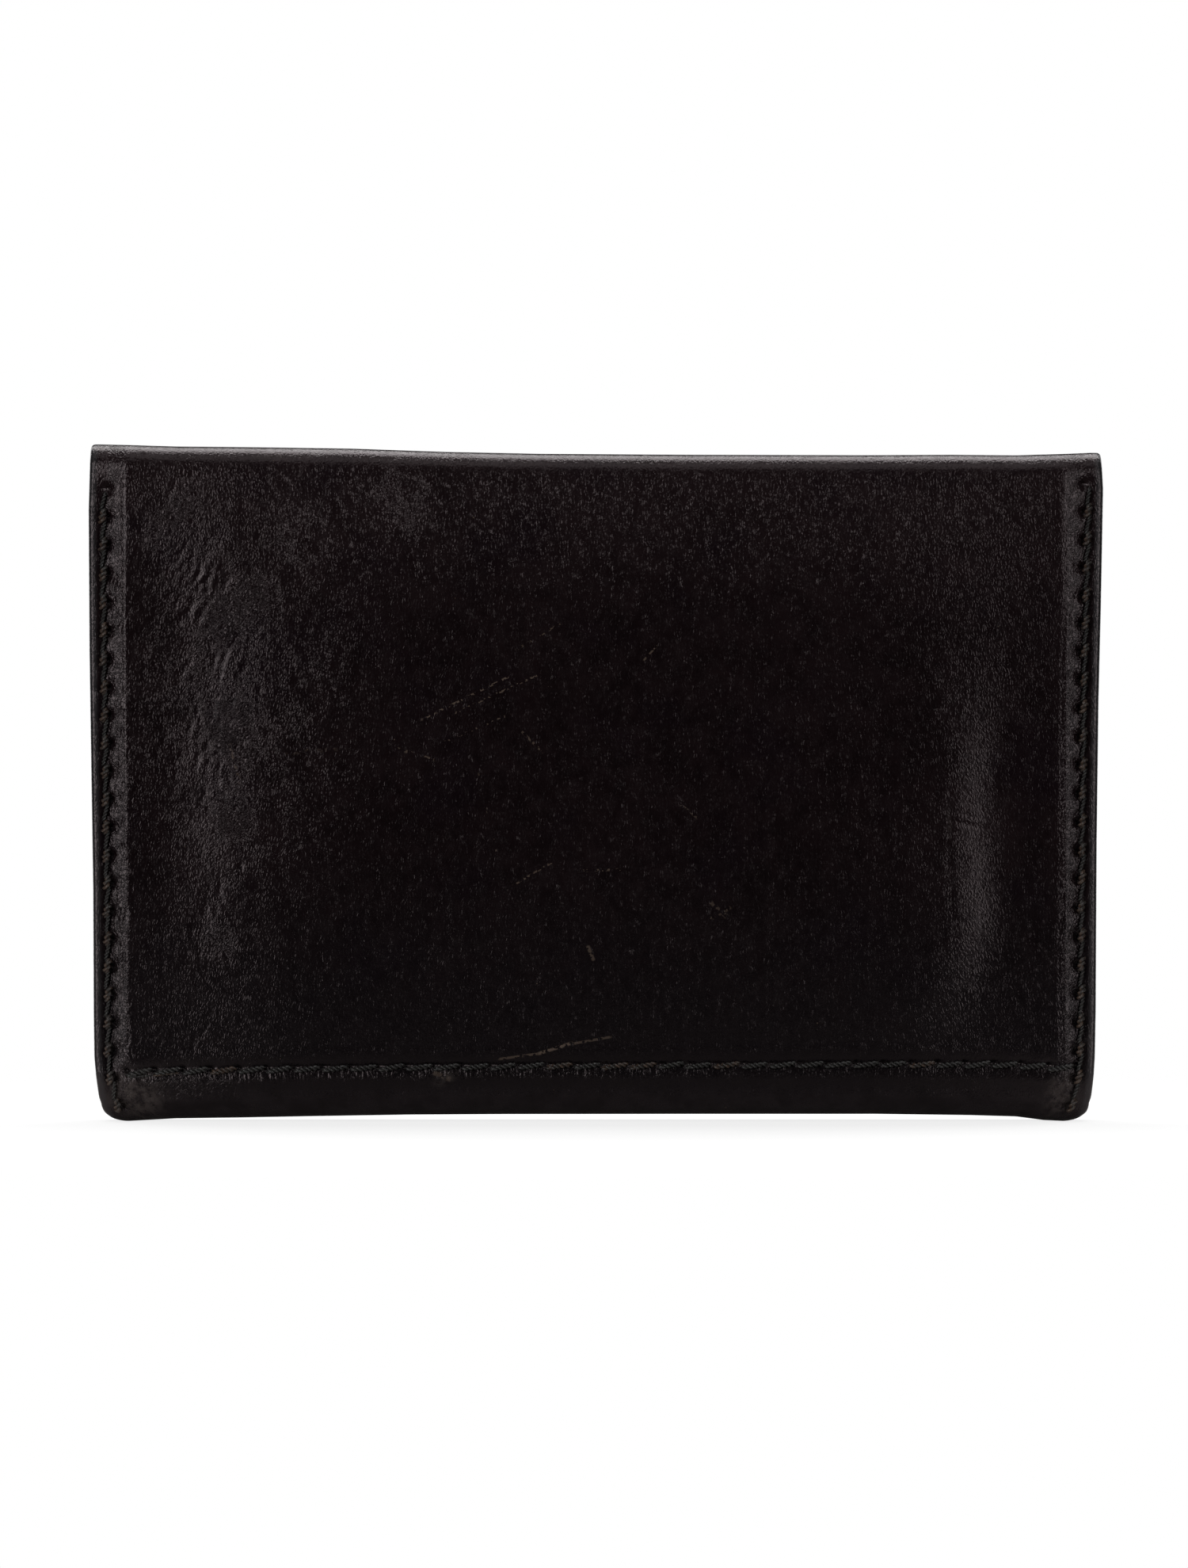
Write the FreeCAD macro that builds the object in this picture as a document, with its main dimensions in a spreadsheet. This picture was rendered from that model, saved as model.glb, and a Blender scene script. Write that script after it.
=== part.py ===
import FreeCAD, Part
import math
import os
import Sketcher

# A flap-over business card case, about 108 x 72 mm and 14 mm deep.
# One long strip of black leather, lined with a thinner skin, makes the front, the base, the back, the
# top and the flap. V-shaped gussets join front and back at the sides, a flat slot pocket is sewn inside
# the back, and a press stud holds the flap.
# X runs across the case, the flap side looks to -Y, the back to +Y and Z is up. The origin is under the
# middle of the case, on the surface that it stands on.
# The leather is cut into separate sub-parts where it folds: each stretch turns with its own body.

DIMS = {
    # the folded leather
    "case_width": 108.0,
    "case_height": 72.0,
    "outer_leather": 1.2,
    "lining_leather": 0.5,
    "pocket_leather": 0.8,
    "gusset_leather": 0.7,
    "corner_radius": 3.0,
    "base_radius": 2.2,
    "crease_radius": 2.5,
    # the room between the layers
    "slot_gap": 0.9,
    "card_gap": 4.6,
    "flap_clearance": 1.4,
    # how far each mouth lies below the top
    "mouth_drop": 3.2,
    "slot_drop": 12.0,
    # the flap
    "flap_depth": 44.0,
    "flap_corner": 9.0,
    # the gussets
    "flange_width": 3.5,
    "gusset_reach": 5.5,
    # the slot pocket, which rises from a flat border
    "pocket_border": 5.0,
    "pocket_slope": 50.0,
    # the seams
    "seam_inset": 2.0,
    "seam_level": 5.7,
    "stitch_pitch": 3.0,
    "stitch_length": 2.5,
    "stitch_slant": 12.0,
    "thread_diameter": 0.6,
    "groove_width": 1.2,
    # the press stud
    "stud_level": 37.5,
    "cap_radius": 6.0,
    "cap_height": 1.2,
    "cap_rim": 0.35,
    "shank_radius": 1.5,
    "socket_radius": 4.8,
    "socket_height": 1.45,
    "socket_sunk": 0.3,
    "socket_bore": 2.6,
    "socket_web": 0.25,
    "socket_chamfer": 0.4,
    "spring_wire": 0.2,
    "spring_play": 0.05,
    "flange_radius": 4.5,
    "flange_thickness": 0.5,
    "flange_sunk": 0.4,
    "post_radius": 1.85,
    "post_neck": 1.6,
    "post_height": 1.1,
    "post_chamfer": 0.3,
    "post_rim": 0.2,
    "neck_height": 0.2,
    "rivet_radius": 1.1,
    "rivet_head": 3.6,
    "rivet_head_thickness": 0.4,
    "patch_radius": 7.5,
    "patch_thickness": 0.3,
}

# What is met on the way from the back face to the crown of the cap.
STACK = (
    "outer_leather",
    "lining_leather",
    "slot_gap",
    "pocket_leather",
    "card_gap",
    "lining_leather",
    "outer_leather",
    "flap_clearance",
    "lining_leather",
    "outer_leather",
    "cap_height",
)


def after(count):
    """Expression for the Y reached after that many layers. Y is 0 in the middle of the depth."""
    whole = " + ".join("dims." + layer for layer in STACK)
    passed = "".join(" - dims." + layer for layer in STACK[:count])
    return f"(({whole}) / 2{passed})"


BACK_FACE = after(0)
BACK_INSIDE = after(1)
LINING_FACE = after(2)
POCKET_REAR = after(3)
CARDS_FRONT = after(5)
FRONT_INSIDE = after(6)
FRONT_FACE = after(7)
FLAP_INSIDE = after(8)
FLAP_MIDDLE = after(9)
FLAP_FACE = after(10)

HALF_WIDTH = "dims.case_width / 2"
CREASE_LEVEL = "(dims.case_height - dims.crease_radius)"
MOUTH_LEVEL = "(dims.case_height - dims.mouth_drop)"
SLOT_LEVEL = "(dims.case_height - dims.slot_drop)"
FLAP_LEVEL = "(dims.case_height - dims.flap_depth)"
BEND_LEATHER = "(dims.outer_leather + dims.lining_leather)"
# How far a cutting sketch reaches past the piece, and a length that cuts right through it.
OVERCUT = "2"
RIGHT_THROUGH = "2 * dims.case_height"
# Degrees.
QUARTER = 90
SPRING_SWEEP = 320
# Turns a bend's own axis, Z, to the row's X.
ALONG_X = FreeCAD.Rotation(FreeCAD.Vector(0, 0, 1), FreeCAD.Vector(1, 0, 0))

doc = FreeCAD.newDocument("card_case")
sheet = doc.addObject("Spreadsheet::Sheet", "dims")
for row, (alias, number) in enumerate(DIMS.items(), start=1):
    sheet.set(f"A{row}", alias)
    sheet.set(f"B{row}", str(number))
    sheet.setAlias(f"B{row}", alias)
doc.recompute()

parts = []


def value(expression):
    """The number that an expression over the sheet's cells gives."""
    return float(sheet.evalExpression(expression))


# ---------------------------------------------------------------- making bodies


def new_body(name, depth="0", level="0"):
    """A body whose own XZ plane stands at that depth in Y and level in Z."""
    body = doc.addObject("PartDesign::Body", name)
    body.Label = name
    body.setExpression("Placement.Base.y", depth)
    body.setExpression("Placement.Base.z", level)
    parts.append(body)
    return body


def new_sketch(body, plane, name):
    sketch = body.newObject("Sketcher::SketchObject", f"{body.Name}_{name}")
    origin_plane = next(f for f in body.Origin.OriginFeatures if f.Role == plane)
    sketch.AttachmentSupport = [(origin_plane, "")]
    sketch.MapMode = "FlatFace"
    return sketch


def bind(sketch, kind, place, expression):
    """Adds a dimension to a sketch and binds it to the sheet."""
    index = sketch.addConstraint(Sketcher.Constraint(kind, *place, value(expression)))
    sketch.setExpression(f"Constraints[{index}]", expression)


def arc_between(start, end, radius, turn):
    """The arc of that radius from start to end. It turns left for 1 and right for -1."""
    chord = end - start
    side = FreeCAD.Vector(-chord.y, chord.x, 0).normalize() * turn
    rise = math.sqrt(max(radius * radius - chord.Length * chord.Length / 4, 0.0))
    centre = (start + end) * 0.5 + side * rise
    middle = centre - side * radius
    return Part.Arc(start, middle, end)


def outline(body, plane, name, corners):
    """A closed sketch. Each corner is (x, y), or (x, y, radius, turn) where an arc leaves it.
    x, y and radius are expressions over the sheet's cells, and turn is 1 or -1."""
    sketch = new_sketch(body, plane, name)
    points = [FreeCAD.Vector(value(c[0]), value(c[1]), 0) for c in corners]
    arcs = []
    for i, corner in enumerate(corners):
        start, end = points[i], points[(i + 1) % len(points)]
        if len(corner) == 2:
            sketch.addGeometry(Part.LineSegment(start, end), False)
            arcs.append(False)
        else:
            sketch.addGeometry(arc_between(start, end, value(corner[2]), corner[3]), False)
            arcs.append(True)
    # An arc is stored from its right-hand end, so one that turns right has its start and end swapped.
    first = [2 if arcs[i] and corners[i][3] < 0 else 1 for i in range(len(corners))]
    for i, corner in enumerate(corners):
        following = (i + 1) % len(corners)
        last = 3 - first[i]
        sketch.addConstraint(Sketcher.Constraint("Coincident", i, last, following, first[following]))
        bind(sketch, "DistanceX", (-1, 1, i, first[i]), corner[0])
        bind(sketch, "DistanceY", (-1, 1, i, first[i]), corner[1])
        if arcs[i]:
            bind(sketch, "Radius", (i,), corner[2])
    return sketch


def rectangle(body, plane, name, x_low, x_high, y_low, y_high):
    corners = [(x_low, y_low), (x_high, y_low), (x_high, y_high), (x_low, y_high)]
    return outline(body, plane, name, corners)


def circle(body, plane, name, radius, x="0", y="0"):
    sketch = new_sketch(body, plane, name)
    centre = FreeCAD.Vector(value(x), value(y), 0)
    sketch.addGeometry(Part.Circle(centre, FreeCAD.Vector(0, 0, 1), value(radius)), False)
    bind(sketch, "DistanceX", (-1, 1, 0, 3), x)
    bind(sketch, "DistanceY", (-1, 1, 0, 3), y)
    bind(sketch, "Radius", (0,), radius)
    return sketch


def feature(body, kind, sketch, length, reverse, midplane=False, taper="0"):
    made = body.newObject(f"PartDesign::{kind}", f"{sketch.Name}_{kind.lower()}")
    made.Profile = sketch
    made.setExpression("Length", length)
    made.setExpression("TaperAngle", taper)
    made.Reversed = reverse
    made.Midplane = midplane
    doc.recompute()
    return made


def pad(body, sketch, length, reverse=False, midplane=False, taper="0"):
    return feature(body, "Pad", sketch, length, reverse, midplane, taper)


def pocket(body, sketch, length, reverse=False, midplane=False, taper="0"):
    """A Pocket that has to take material away."""
    before = body.Shape.Volume
    made = feature(body, "Pocket", sketch, length, reverse, midplane, taper)
    if body.Shape.Volume > before - 1e-6:
        raise RuntimeError(f"{made.Name} cuts nothing")
    return made


# The XZ plane's normal is -Y. So a pad goes towards the flap side and a pocket towards the back,
# unless they are reversed.


def round_base_corners(body, sides=("left", "right")):
    """Rounds the lower corners of a piece as they are cut, right through it."""
    for name in sides:
        sign, turn = ("-", 1) if name == "left" else ("", -1)
        edge = f"{sign}({HALF_WIDTH})"
        inner = f"{sign}({HALF_WIDTH} - dims.corner_radius)"
        beyond = f"{sign}({HALF_WIDTH} + {OVERCUT})"
        corners = [
            (inner, "0", "dims.corner_radius", -turn),
            (edge, "dims.corner_radius"),
            (beyond, "dims.corner_radius"),
            (beyond, f"-{OVERCUT}"),
            (inner, f"-{OVERCUT}"),
        ]
        sketch = outline(body, "XZ_Plane", f"{name}_corner", corners)
        pocket(body, sketch, RIGHT_THROUGH, midplane=True)


def groove(body, name, x_low, x_high, low, high, from_back=False):
    """The sunk line of a seam, cut into the body's own XZ plane or into the back face."""
    sketch = rectangle(body, "XZ_Plane", name, x_low, x_high, low, high)
    if from_back:
        sketch.setExpression("AttachmentOffset.Base.z", f"-{BACK_FACE}")
    pocket(body, sketch, "dims.thread_diameter", reverse=from_back)


def side_grooves(body, high, from_back=False):
    for name, side in (("left_groove", "-1"), ("right_groove", "1")):
        low_x = f"{side} * ({HALF_WIDTH} - dims.seam_inset) - dims.groove_width / 2"
        high_x = f"{side} * ({HALF_WIDTH} - dims.seam_inset) + dims.groove_width / 2"
        groove(body, name, low_x, high_x, "dims.base_radius", high, from_back)


def cross_groove(body, level, from_back=False):
    """It stops short of the side seams."""
    reach = f"({HALF_WIDTH} - dims.seam_inset - dims.groove_width)"
    half = "dims.groove_width / 2"
    groove(body, "cross_groove", f"-{reach}", reach, f"{level} - {half}", f"{level} + {half}", from_back)


def round_hole(body, name, radius, depth, level, plane_offset="0"):
    """A round hole or recess for the press stud. With an offset it is cut from the piece's far side."""
    sketch = circle(body, "XZ_Plane", name, radius, "0", level)
    sketch.setExpression("AttachmentOffset.Base.z", plane_offset)
    pocket(body, sketch, depth, reverse=plane_offset != "0")


# ---------------------------------------------------------------- the back and the base


def wrapped_panel(name, near, thickness, radius):
    """The back with the base folded under it, up to the foot of the front. near is its outer side's Y."""
    body = new_body(name)
    gap = "(" + BACK_FACE + " - " + near + ")"
    front = f"({FRONT_FACE} + {gap})"
    inner = f"({radius} - {thickness})"
    start = "dims.base_radius"
    corners = [
        (near, CREASE_LEVEL),
        (near, start, radius, -1),
        (f"{near} - {radius}", gap),
        (f"{front} + {radius}", gap, radius, -1),
        (front, start),
        (f"{front} + {thickness}", start, inner, 1),
        (f"{front} + {radius}", f"{gap} + {thickness}"),
        (f"{near} - {radius}", f"{gap} + {thickness}", inner, 1),
        (f"{near} - {thickness}", start),
        (f"{near} - {thickness}", CREASE_LEVEL),
    ]
    pad(body, outline(body, "YZ_Plane", "section", corners), "dims.case_width", midplane=True)
    round_base_corners(body)
    return body


def back_panel():
    body = wrapped_panel("back_panel", BACK_FACE, "dims.outer_leather", "dims.base_radius")
    side_grooves(body, MOUTH_LEVEL, from_back=True)
    cross_groove(body, "dims.seam_level", from_back=True)


def back_lining():
    radius = "(dims.base_radius - dims.outer_leather)"
    wrapped_panel("back_lining", BACK_INSIDE, "dims.lining_leather", radius)


def rear_pocket():
    """The slot pocket: a border sewn to the back on three sides, and a raised middle, open at the top."""
    body = new_body("rear_pocket", LINING_FACE)
    foot = "dims.base_radius"
    border = rectangle(body, "XZ_Plane", "border", f"-({HALF_WIDTH})", HALF_WIDTH, foot, SLOT_LEVEL)
    pad(body, border, "dims.pocket_leather")
    inner = f"({HALF_WIDTH} - dims.pocket_border)"
    floor = f"({foot} + dims.pocket_border)"
    above = f"({SLOT_LEVEL} + {OVERCUT})"
    # The raised middle leans inwards, so its foot lies a leather's thickness outside the hollow's.
    skirt = "dims.pocket_leather"
    reach = f"({inner} + {skirt})"
    raised = rectangle(body, "XZ_Plane", "raised", f"-{reach}", reach, f"{floor} - {skirt}", above)
    height = "dims.slot_gap + dims.pocket_leather"
    lean = "-dims.pocket_slope"
    pad(body, raised, height, taper=lean)
    hollow = rectangle(body, "XZ_Plane", "hollow", f"-{inner}", inner, floor, above)
    pocket(body, hollow, "dims.slot_gap", reverse=True, taper=lean)
    beyond = f"({HALF_WIDTH} + {OVERCUT})"
    trim = rectangle(body, "XZ_Plane", "trim", f"-{beyond}", beyond, SLOT_LEVEL, f"{above} + {OVERCUT}")
    pocket(body, trim, RIGHT_THROUGH, midplane=True)
    round_base_corners(body)


def gusset(side_name, side):
    """A strip folded to a V that points into the pouch, with a flange against the back and the front."""
    body = new_body(f"{side_name}_gusset")
    edge = f"{side} * ({HALF_WIDTH})"
    bend = f"({HALF_WIDTH} - dims.flange_width)"
    rear = f"({LINING_FACE} - dims.pocket_leather)"
    front = CARDS_FRONT
    middle = f"(({rear} + {front}) / 2)"
    half = f"(({rear} - {front}) / 2)"
    thick = "dims.gusset_leather"
    slope = f"sqrt(dims.gusset_reach ^ 2 + {half} ^ 2)"
    tip = f"{side} * ({bend} - dims.gusset_reach)"
    inner_tip = f"{side} * ({bend} - dims.gusset_reach + {thick} * {slope} / {half})"
    inner_bend = f"{side} * ({bend} + {thick} * ({slope} - dims.gusset_reach) / {half})"
    outer_bend = f"{side} * {bend}"
    corners = [
        (edge, rear),
        (outer_bend, rear),
        (tip, middle),
        (outer_bend, front),
        (edge, front),
        (edge, f"{front} + {thick}"),
        (inner_bend, f"{front} + {thick}"),
        (inner_tip, middle),
        (inner_bend, f"{rear} - {thick}"),
        (edge, f"{rear} - {thick}"),
    ]
    sketch = outline(body, "XY_Plane", "section", corners)
    sketch.setExpression("AttachmentOffset.Base.z", "dims.base_radius")
    pad(body, sketch, f"{MOUTH_LEVEL} - dims.base_radius")
    round_base_corners(body, (side_name,))


# ---------------------------------------------------------------- the front


def plate(name, depth, thickness, towards_back):
    """A flat sheet of the front, from the base fold to the mouth. Its XZ plane is at that depth."""
    body = new_body(name, depth)
    low = "dims.base_radius"
    sheet_outline = rectangle(body, "XZ_Plane", "sheet", f"-({HALF_WIDTH})", HALF_WIDTH, low, MOUTH_LEVEL)
    pad(body, sheet_outline, thickness, reverse=towards_back)
    round_base_corners(body)
    return body


def front_panel():
    body = plate("front_panel", FRONT_FACE, "dims.outer_leather", towards_back=True)
    seam_level = f"({MOUTH_LEVEL} - dims.seam_inset)"
    side_grooves(body, seam_level)
    cross_groove(body, seam_level)
    level = "dims.stud_level"
    inside = "-dims.outer_leather"
    round_hole(body, "flange_recess", "dims.flange_radius", "dims.flange_sunk", level)
    round_hole(body, "rivet_hole", "dims.rivet_radius", "dims.outer_leather", level)
    round_hole(body, "rivet_recess", "dims.rivet_head", "dims.rivet_head_thickness", level, inside)


def front_lining():
    plate("front_lining", CARDS_FRONT, "dims.lining_leather", towards_back=False)


# ---------------------------------------------------------------- the top and the flap


def bend(name, centre, turn, outer, inner):
    """A quarter bend across the case, of the leather between two radii. turn swings it about its axis."""
    body = new_body(name, centre, CREASE_LEVEL)
    body.setExpression("Placement.Base.x", f"-({HALF_WIDTH})")
    rotation = FreeCAD.Rotation(FreeCAD.Vector(1, 0, 0), turn) * ALONG_X
    body.Placement = FreeCAD.Placement(body.Placement.Base, rotation)
    for kind, radius in (("AdditiveCylinder", outer), ("SubtractiveCylinder", inner)):
        made = body.newObject(f"PartDesign::{kind}", f"{name}_{kind.lower()}")
        made.setExpression("Radius", radius)
        made.setExpression("Height", "dims.case_width")
        made.Angle = QUARTER if kind == "AdditiveCylinder" else 2 * QUARTER
        doc.recompute()


def creases():
    """The leather and lining over the two edges of the top. Each pair bends as the flap opens."""
    rear = f"({BACK_FACE} - dims.crease_radius)"
    front = f"({FLAP_FACE} + dims.crease_radius)"
    skin = "(dims.crease_radius - dims.outer_leather)"
    lining = f"(dims.crease_radius - {BEND_LEATHER})"
    for name, centre, turn in (("rear_crease", rear, QUARTER), ("front_crease", front, 2 * QUARTER)):
        bend(name, centre, turn, "dims.crease_radius", skin)
        bend(name + "_lining", centre, turn, skin, lining)


def top_strip():
    """The flat stretch over the top of the pouch, between the two creases."""
    rear = f"({BACK_FACE} - dims.crease_radius)"
    front = f"({FLAP_FACE} + dims.crease_radius)"
    top = "dims.case_height"
    under = f"({top} - dims.outer_leather)"
    for name, high, thickness in (
        ("top_strip", top, "dims.outer_leather"),
        ("top_strip_lining", under, "dims.lining_leather"),
    ):
        body = new_body(name)
        section = rectangle(body, "YZ_Plane", "section", front, rear, f"{high} - {thickness}", high)
        pad(body, section, "dims.case_width", midplane=True)


def flap_outline(body, inset="0"):
    """The flap hangs from its crease and has rounded lower corners."""
    half = f"({HALF_WIDTH} - {inset})"
    low = f"({FLAP_LEVEL} + {inset})"
    radius = f"(dims.flap_corner - {inset})"
    corners = [
        (f"-{half}", CREASE_LEVEL),
        (f"-{half}", f"{low} + {radius}", radius, 1),
        (f"-{half} + {radius}", low),
        (f"{half} - {radius}", low, radius, 1),
        (half, f"{low} + {radius}"),
        (half, CREASE_LEVEL),
    ]
    return outline(body, "XZ_Plane", "sheet", corners)


def seam_band(body, inset, half_band, level):
    """The U-shaped sunk line round the flap's edge, between two insets."""
    corners = []
    for offset, order in ((f"({inset} - {half_band})", 1), (f"({inset} + {half_band})", -1)):
        half = f"({HALF_WIDTH} - {offset})"
        low = f"({FLAP_LEVEL} + {offset})"
        radius = f"(dims.flap_corner - {offset})"
        run = [
            (f"-{half}", level),
            (f"-{half}", f"{low} + {radius}"),
            (f"-{half} + {radius}", low),
            (f"{half} - {radius}", low),
            (half, f"{low} + {radius}"),
            (half, level),
        ]
        run = run[::order]
        # An arc leaves the second and the fourth corner of each run.
        corners += [c + (radius, order) if i in (1, 3) else c for i, c in enumerate(run)]
    return outline(body, "XZ_Plane", "seam_band", corners)


def flap():
    body = new_body("flap", FLAP_FACE)
    pad(body, flap_outline(body), "dims.outer_leather", reverse=True)
    band = seam_band(body, "dims.seam_inset", "dims.groove_width / 2", CREASE_LEVEL)
    pocket(body, band, "dims.thread_diameter")
    level = "dims.stud_level"
    inside = "-dims.outer_leather"
    round_hole(body, "shank_hole", "dims.shank_radius", "dims.outer_leather", level)
    round_hole(body, "patch_recess", "dims.patch_radius", "dims.patch_thickness", level, inside)


def flap_lining():
    body = new_body("flap_lining", FLAP_MIDDLE)
    pad(body, flap_outline(body), "dims.lining_leather", reverse=True)
    level = "dims.stud_level"
    inside = "-dims.lining_leather"
    round_hole(body, "shank_hole", "dims.shank_radius", "dims.lining_leather", level)
    round_hole(body, "socket_recess", "dims.socket_radius", "dims.socket_sunk", level, inside)


def flap_patch():
    """The disc that stiffens the flap round the cap's shank, between leather and lining."""
    body = new_body("flap_patch", f"({FLAP_MIDDLE} - dims.patch_thickness)", "dims.stud_level")
    pad(body, circle(body, "XZ_Plane", "disc", "dims.patch_radius"), "dims.patch_thickness", reverse=True)
    round_hole(body, "shank_hole", "dims.shank_radius", "dims.patch_thickness", "0")


# ---------------------------------------------------------------- the press stud


def turned(name, depth, corners):
    """A piece turned about the press stud's axis. Corners are (radius, Y from that depth)."""
    body = new_body(name, depth, "dims.stud_level")
    sketch = outline(body, "XY_Plane", "section", corners)
    made = body.newObject("PartDesign::Revolution", f"{name}_turned")
    made.Profile = sketch
    made.ReferenceAxis = (sketch, ["V_Axis"])
    made.Angle = 4 * QUARTER
    doc.recompute()
    return body


def press_stud():
    """Cap, socket and ring spring on the flap, stud and rivet on the front."""
    through = f"({FLAP_INSIDE} - {FLAP_FACE} - dims.socket_sunk + dims.socket_web)"
    crown = "(dims.cap_height - dims.cap_rim)"
    turned(
        "snap_cap",
        FLAP_FACE,
        [
            ("0", through),
            ("0", "-dims.cap_height", f"((dims.cap_radius ^ 2 + {crown} ^ 2) / (2 * {crown}))", 1),
            ("dims.cap_radius", "-dims.cap_rim"),
            ("dims.cap_radius", "0"),
            ("dims.shank_radius", "0"),
            ("dims.shank_radius", through),
        ],
    )
    turned(
        "snap_socket",
        f"({FLAP_INSIDE} - dims.socket_sunk)",
        [
            ("dims.shank_radius", "0"),
            ("dims.socket_radius", "0"),
            ("dims.socket_radius", "dims.socket_height - dims.socket_chamfer"),
            ("dims.socket_radius - dims.socket_chamfer", "dims.socket_height"),
            ("dims.socket_bore", "dims.socket_height"),
            ("dims.socket_bore", "dims.socket_web"),
            ("dims.shank_radius", "dims.socket_web"),
        ],
    )
    spring = new_body(
        "socket_spring", f"({FLAP_INSIDE} - dims.socket_sunk + dims.socket_height / 2)", "dims.stud_level"
    )
    facing = FreeCAD.Rotation(FreeCAD.Vector(1, 0, 0), QUARTER)
    spring.Placement = FreeCAD.Placement(spring.Placement.Base, facing)
    ring = spring.newObject("PartDesign::AdditiveTorus", "socket_spring_ring")
    ring.setExpression("Radius1", "dims.socket_bore - dims.spring_wire - dims.spring_play")
    ring.setExpression("Radius2", "dims.spring_wire")
    ring.Angle3 = SPRING_SWEEP
    doc.recompute()
    proud = "(dims.flange_thickness - dims.flange_sunk)"
    crest = f"-{proud} - dims.post_height"
    turned(
        "snap_stud",
        FRONT_FACE,
        [
            ("dims.rivet_radius", "dims.flange_sunk"),
            ("dims.rivet_radius", f"{crest} + dims.post_chamfer"),
            ("0", f"{crest} + dims.post_chamfer"),
            ("0", crest),
            ("dims.post_radius - dims.post_chamfer", crest),
            ("dims.post_radius", f"{crest} + dims.post_chamfer"),
            ("dims.post_radius", f"{crest} + dims.post_chamfer + dims.post_rim"),
            ("dims.post_neck", f"-{proud} - dims.neck_height"),
            ("dims.post_neck", f"-{proud}"),
            ("dims.flange_radius", f"-{proud}"),
            ("dims.flange_radius", "dims.flange_sunk"),
        ],
    )
    reach = f"({FRONT_INSIDE} - {FRONT_FACE} + {proud} + dims.post_height - dims.post_chamfer)"
    turned(
        "stud_rivet",
        FRONT_INSIDE,
        [
            ("0", "0"),
            ("0", f"-{reach}"),
            ("dims.rivet_radius", f"-{reach}"),
            ("dims.rivet_radius", "-dims.rivet_head_thickness"),
            ("dims.rivet_head", "-dims.rivet_head_thickness"),
            ("dims.rivet_head", "0"),
        ],
    )


# ---------------------------------------------------------------- the seams


def stitch(place, along, outward):
    """One stitch: a slanted rod of thread with round ends, its crown level with the leather."""
    radius = value("dims.thread_diameter") / 2
    half = value("dims.stitch_length") / 2 - radius
    slant = FreeCAD.Rotation(outward, value("dims.stitch_slant"))
    direction = slant.multVec(along)
    centre = place - outward * radius
    rod = Part.makeCylinder(radius, 2 * half, centre - direction * half, direction)
    ends = [Part.makeSphere(radius, centre + direction * half * end) for end in (-1, 1)]
    return rod.fuse(ends).removeSplitter()


def seam(name, path, outward):
    """A row of stitches evenly spaced along a path of edges that lies on the leather's visible side."""
    pitch = value("dims.stitch_pitch")
    length = sum(edge.Length for edge in path)
    count = int(length / pitch)
    start = (length - (count - 1) * pitch) / 2
    stitches = []
    for i in range(count):
        at = start + i * pitch
        for edge in path:
            if at <= edge.Length:
                break
            at -= edge.Length
        parameter = edge.getParameterByLength(at)
        stitches.append(stitch(edge.valueAt(parameter), edge.tangentAt(parameter), outward))
    made = doc.addObject("Part::Feature", name)
    made.Label = name
    made.Shape = Part.makeCompound(stitches)
    parts.append(made)


def line(start, end):
    return Part.makeLine(FreeCAD.Vector(*start), FreeCAD.Vector(*end))


def seams():
    inset = value("dims.seam_inset")
    edge = value(HALF_WIDTH) - inset
    foot = value("dims.base_radius")
    mouth = value(MOUTH_LEVEL)
    margin = value("dims.groove_width")
    back, front, flap_face = value(BACK_FACE), value(FRONT_FACE), value(FLAP_FACE)
    backwards, forwards = FreeCAD.Vector(0, 1, 0), FreeCAD.Vector(0, -1, 0)
    for name, x in (("left", -edge), ("right", edge)):
        seam(f"rear_{name}_stitches", [line((x, back, foot), (x, back, mouth))], backwards)
        seam(f"front_{name}_stitches", [line((x, front, foot), (x, front, mouth - inset))], forwards)
    level = value("dims.seam_level")
    reach = edge - margin
    seam("pocket_stitches", [line((-reach, back, level), (reach, back, level))], backwards)
    level = mouth - inset
    seam("mouth_stitches", [line((-reach, front, level), (reach, front, level))], forwards)
    low = value(FLAP_LEVEL) + inset
    top = value(CREASE_LEVEL)
    radius = value("dims.flap_corner") - inset
    diagonal = radius * (1 - math.sqrt(0.5))

    def arc(start, middle, end):
        return Part.Arc(*(FreeCAD.Vector(x, flap_face, z) for x, z in (start, middle, end))).toShape()

    corner = low + radius
    path = [
        line((-edge, flap_face, top), (-edge, flap_face, corner)),
        arc((-edge, corner), (diagonal - edge, low + diagonal), (radius - edge, low)),
        line((radius - edge, flap_face, low), (edge - radius, flap_face, low)),
        arc((edge - radius, low), (edge - diagonal, low + diagonal), (edge, corner)),
        line((edge, flap_face, corner), (edge, flap_face, top)),
    ]
    seam("flap_stitches", path, forwards)


# ---------------------------------------------------------------- the whole case


back_panel()
back_lining()
rear_pocket()
gusset("left", "-1")
gusset("right", "1")
front_panel()
front_lining()
creases()
top_strip()
flap()
flap_lining()
flap_patch()
press_stud()
seams()
doc.recompute()

for made in doc.Objects:
    if {"Invalid", "Error"} & set(made.State):
        raise RuntimeError(f"{made.Name} failed: {made.State}")
os.makedirs("parts", exist_ok=True)
for part in parts:
    if part.Shape.isNull() or not part.Shape.isValid() or not part.Shape.Solids:
        raise RuntimeError(f"{part.Label} has no valid solid")
    part.Shape.exportStep(f"parts/{part.Label}.step")
print(f"{len(parts)} sub-parts")
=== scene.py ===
"""Looks of the business card case: worn, glazed black leather, sewn with waxed thread, on a pale floor.

Lengths in the geometry code are in millimetres, in the row frame: X across, +Y out of the back, +Z up.
They become metres where a mesh is made. Every sheet of leather is laid out flat along a course of runs and
bends. Then one smooth warp, the same for every piece, gives the case a used one's slack and pinched shape.
"""

import math

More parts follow.
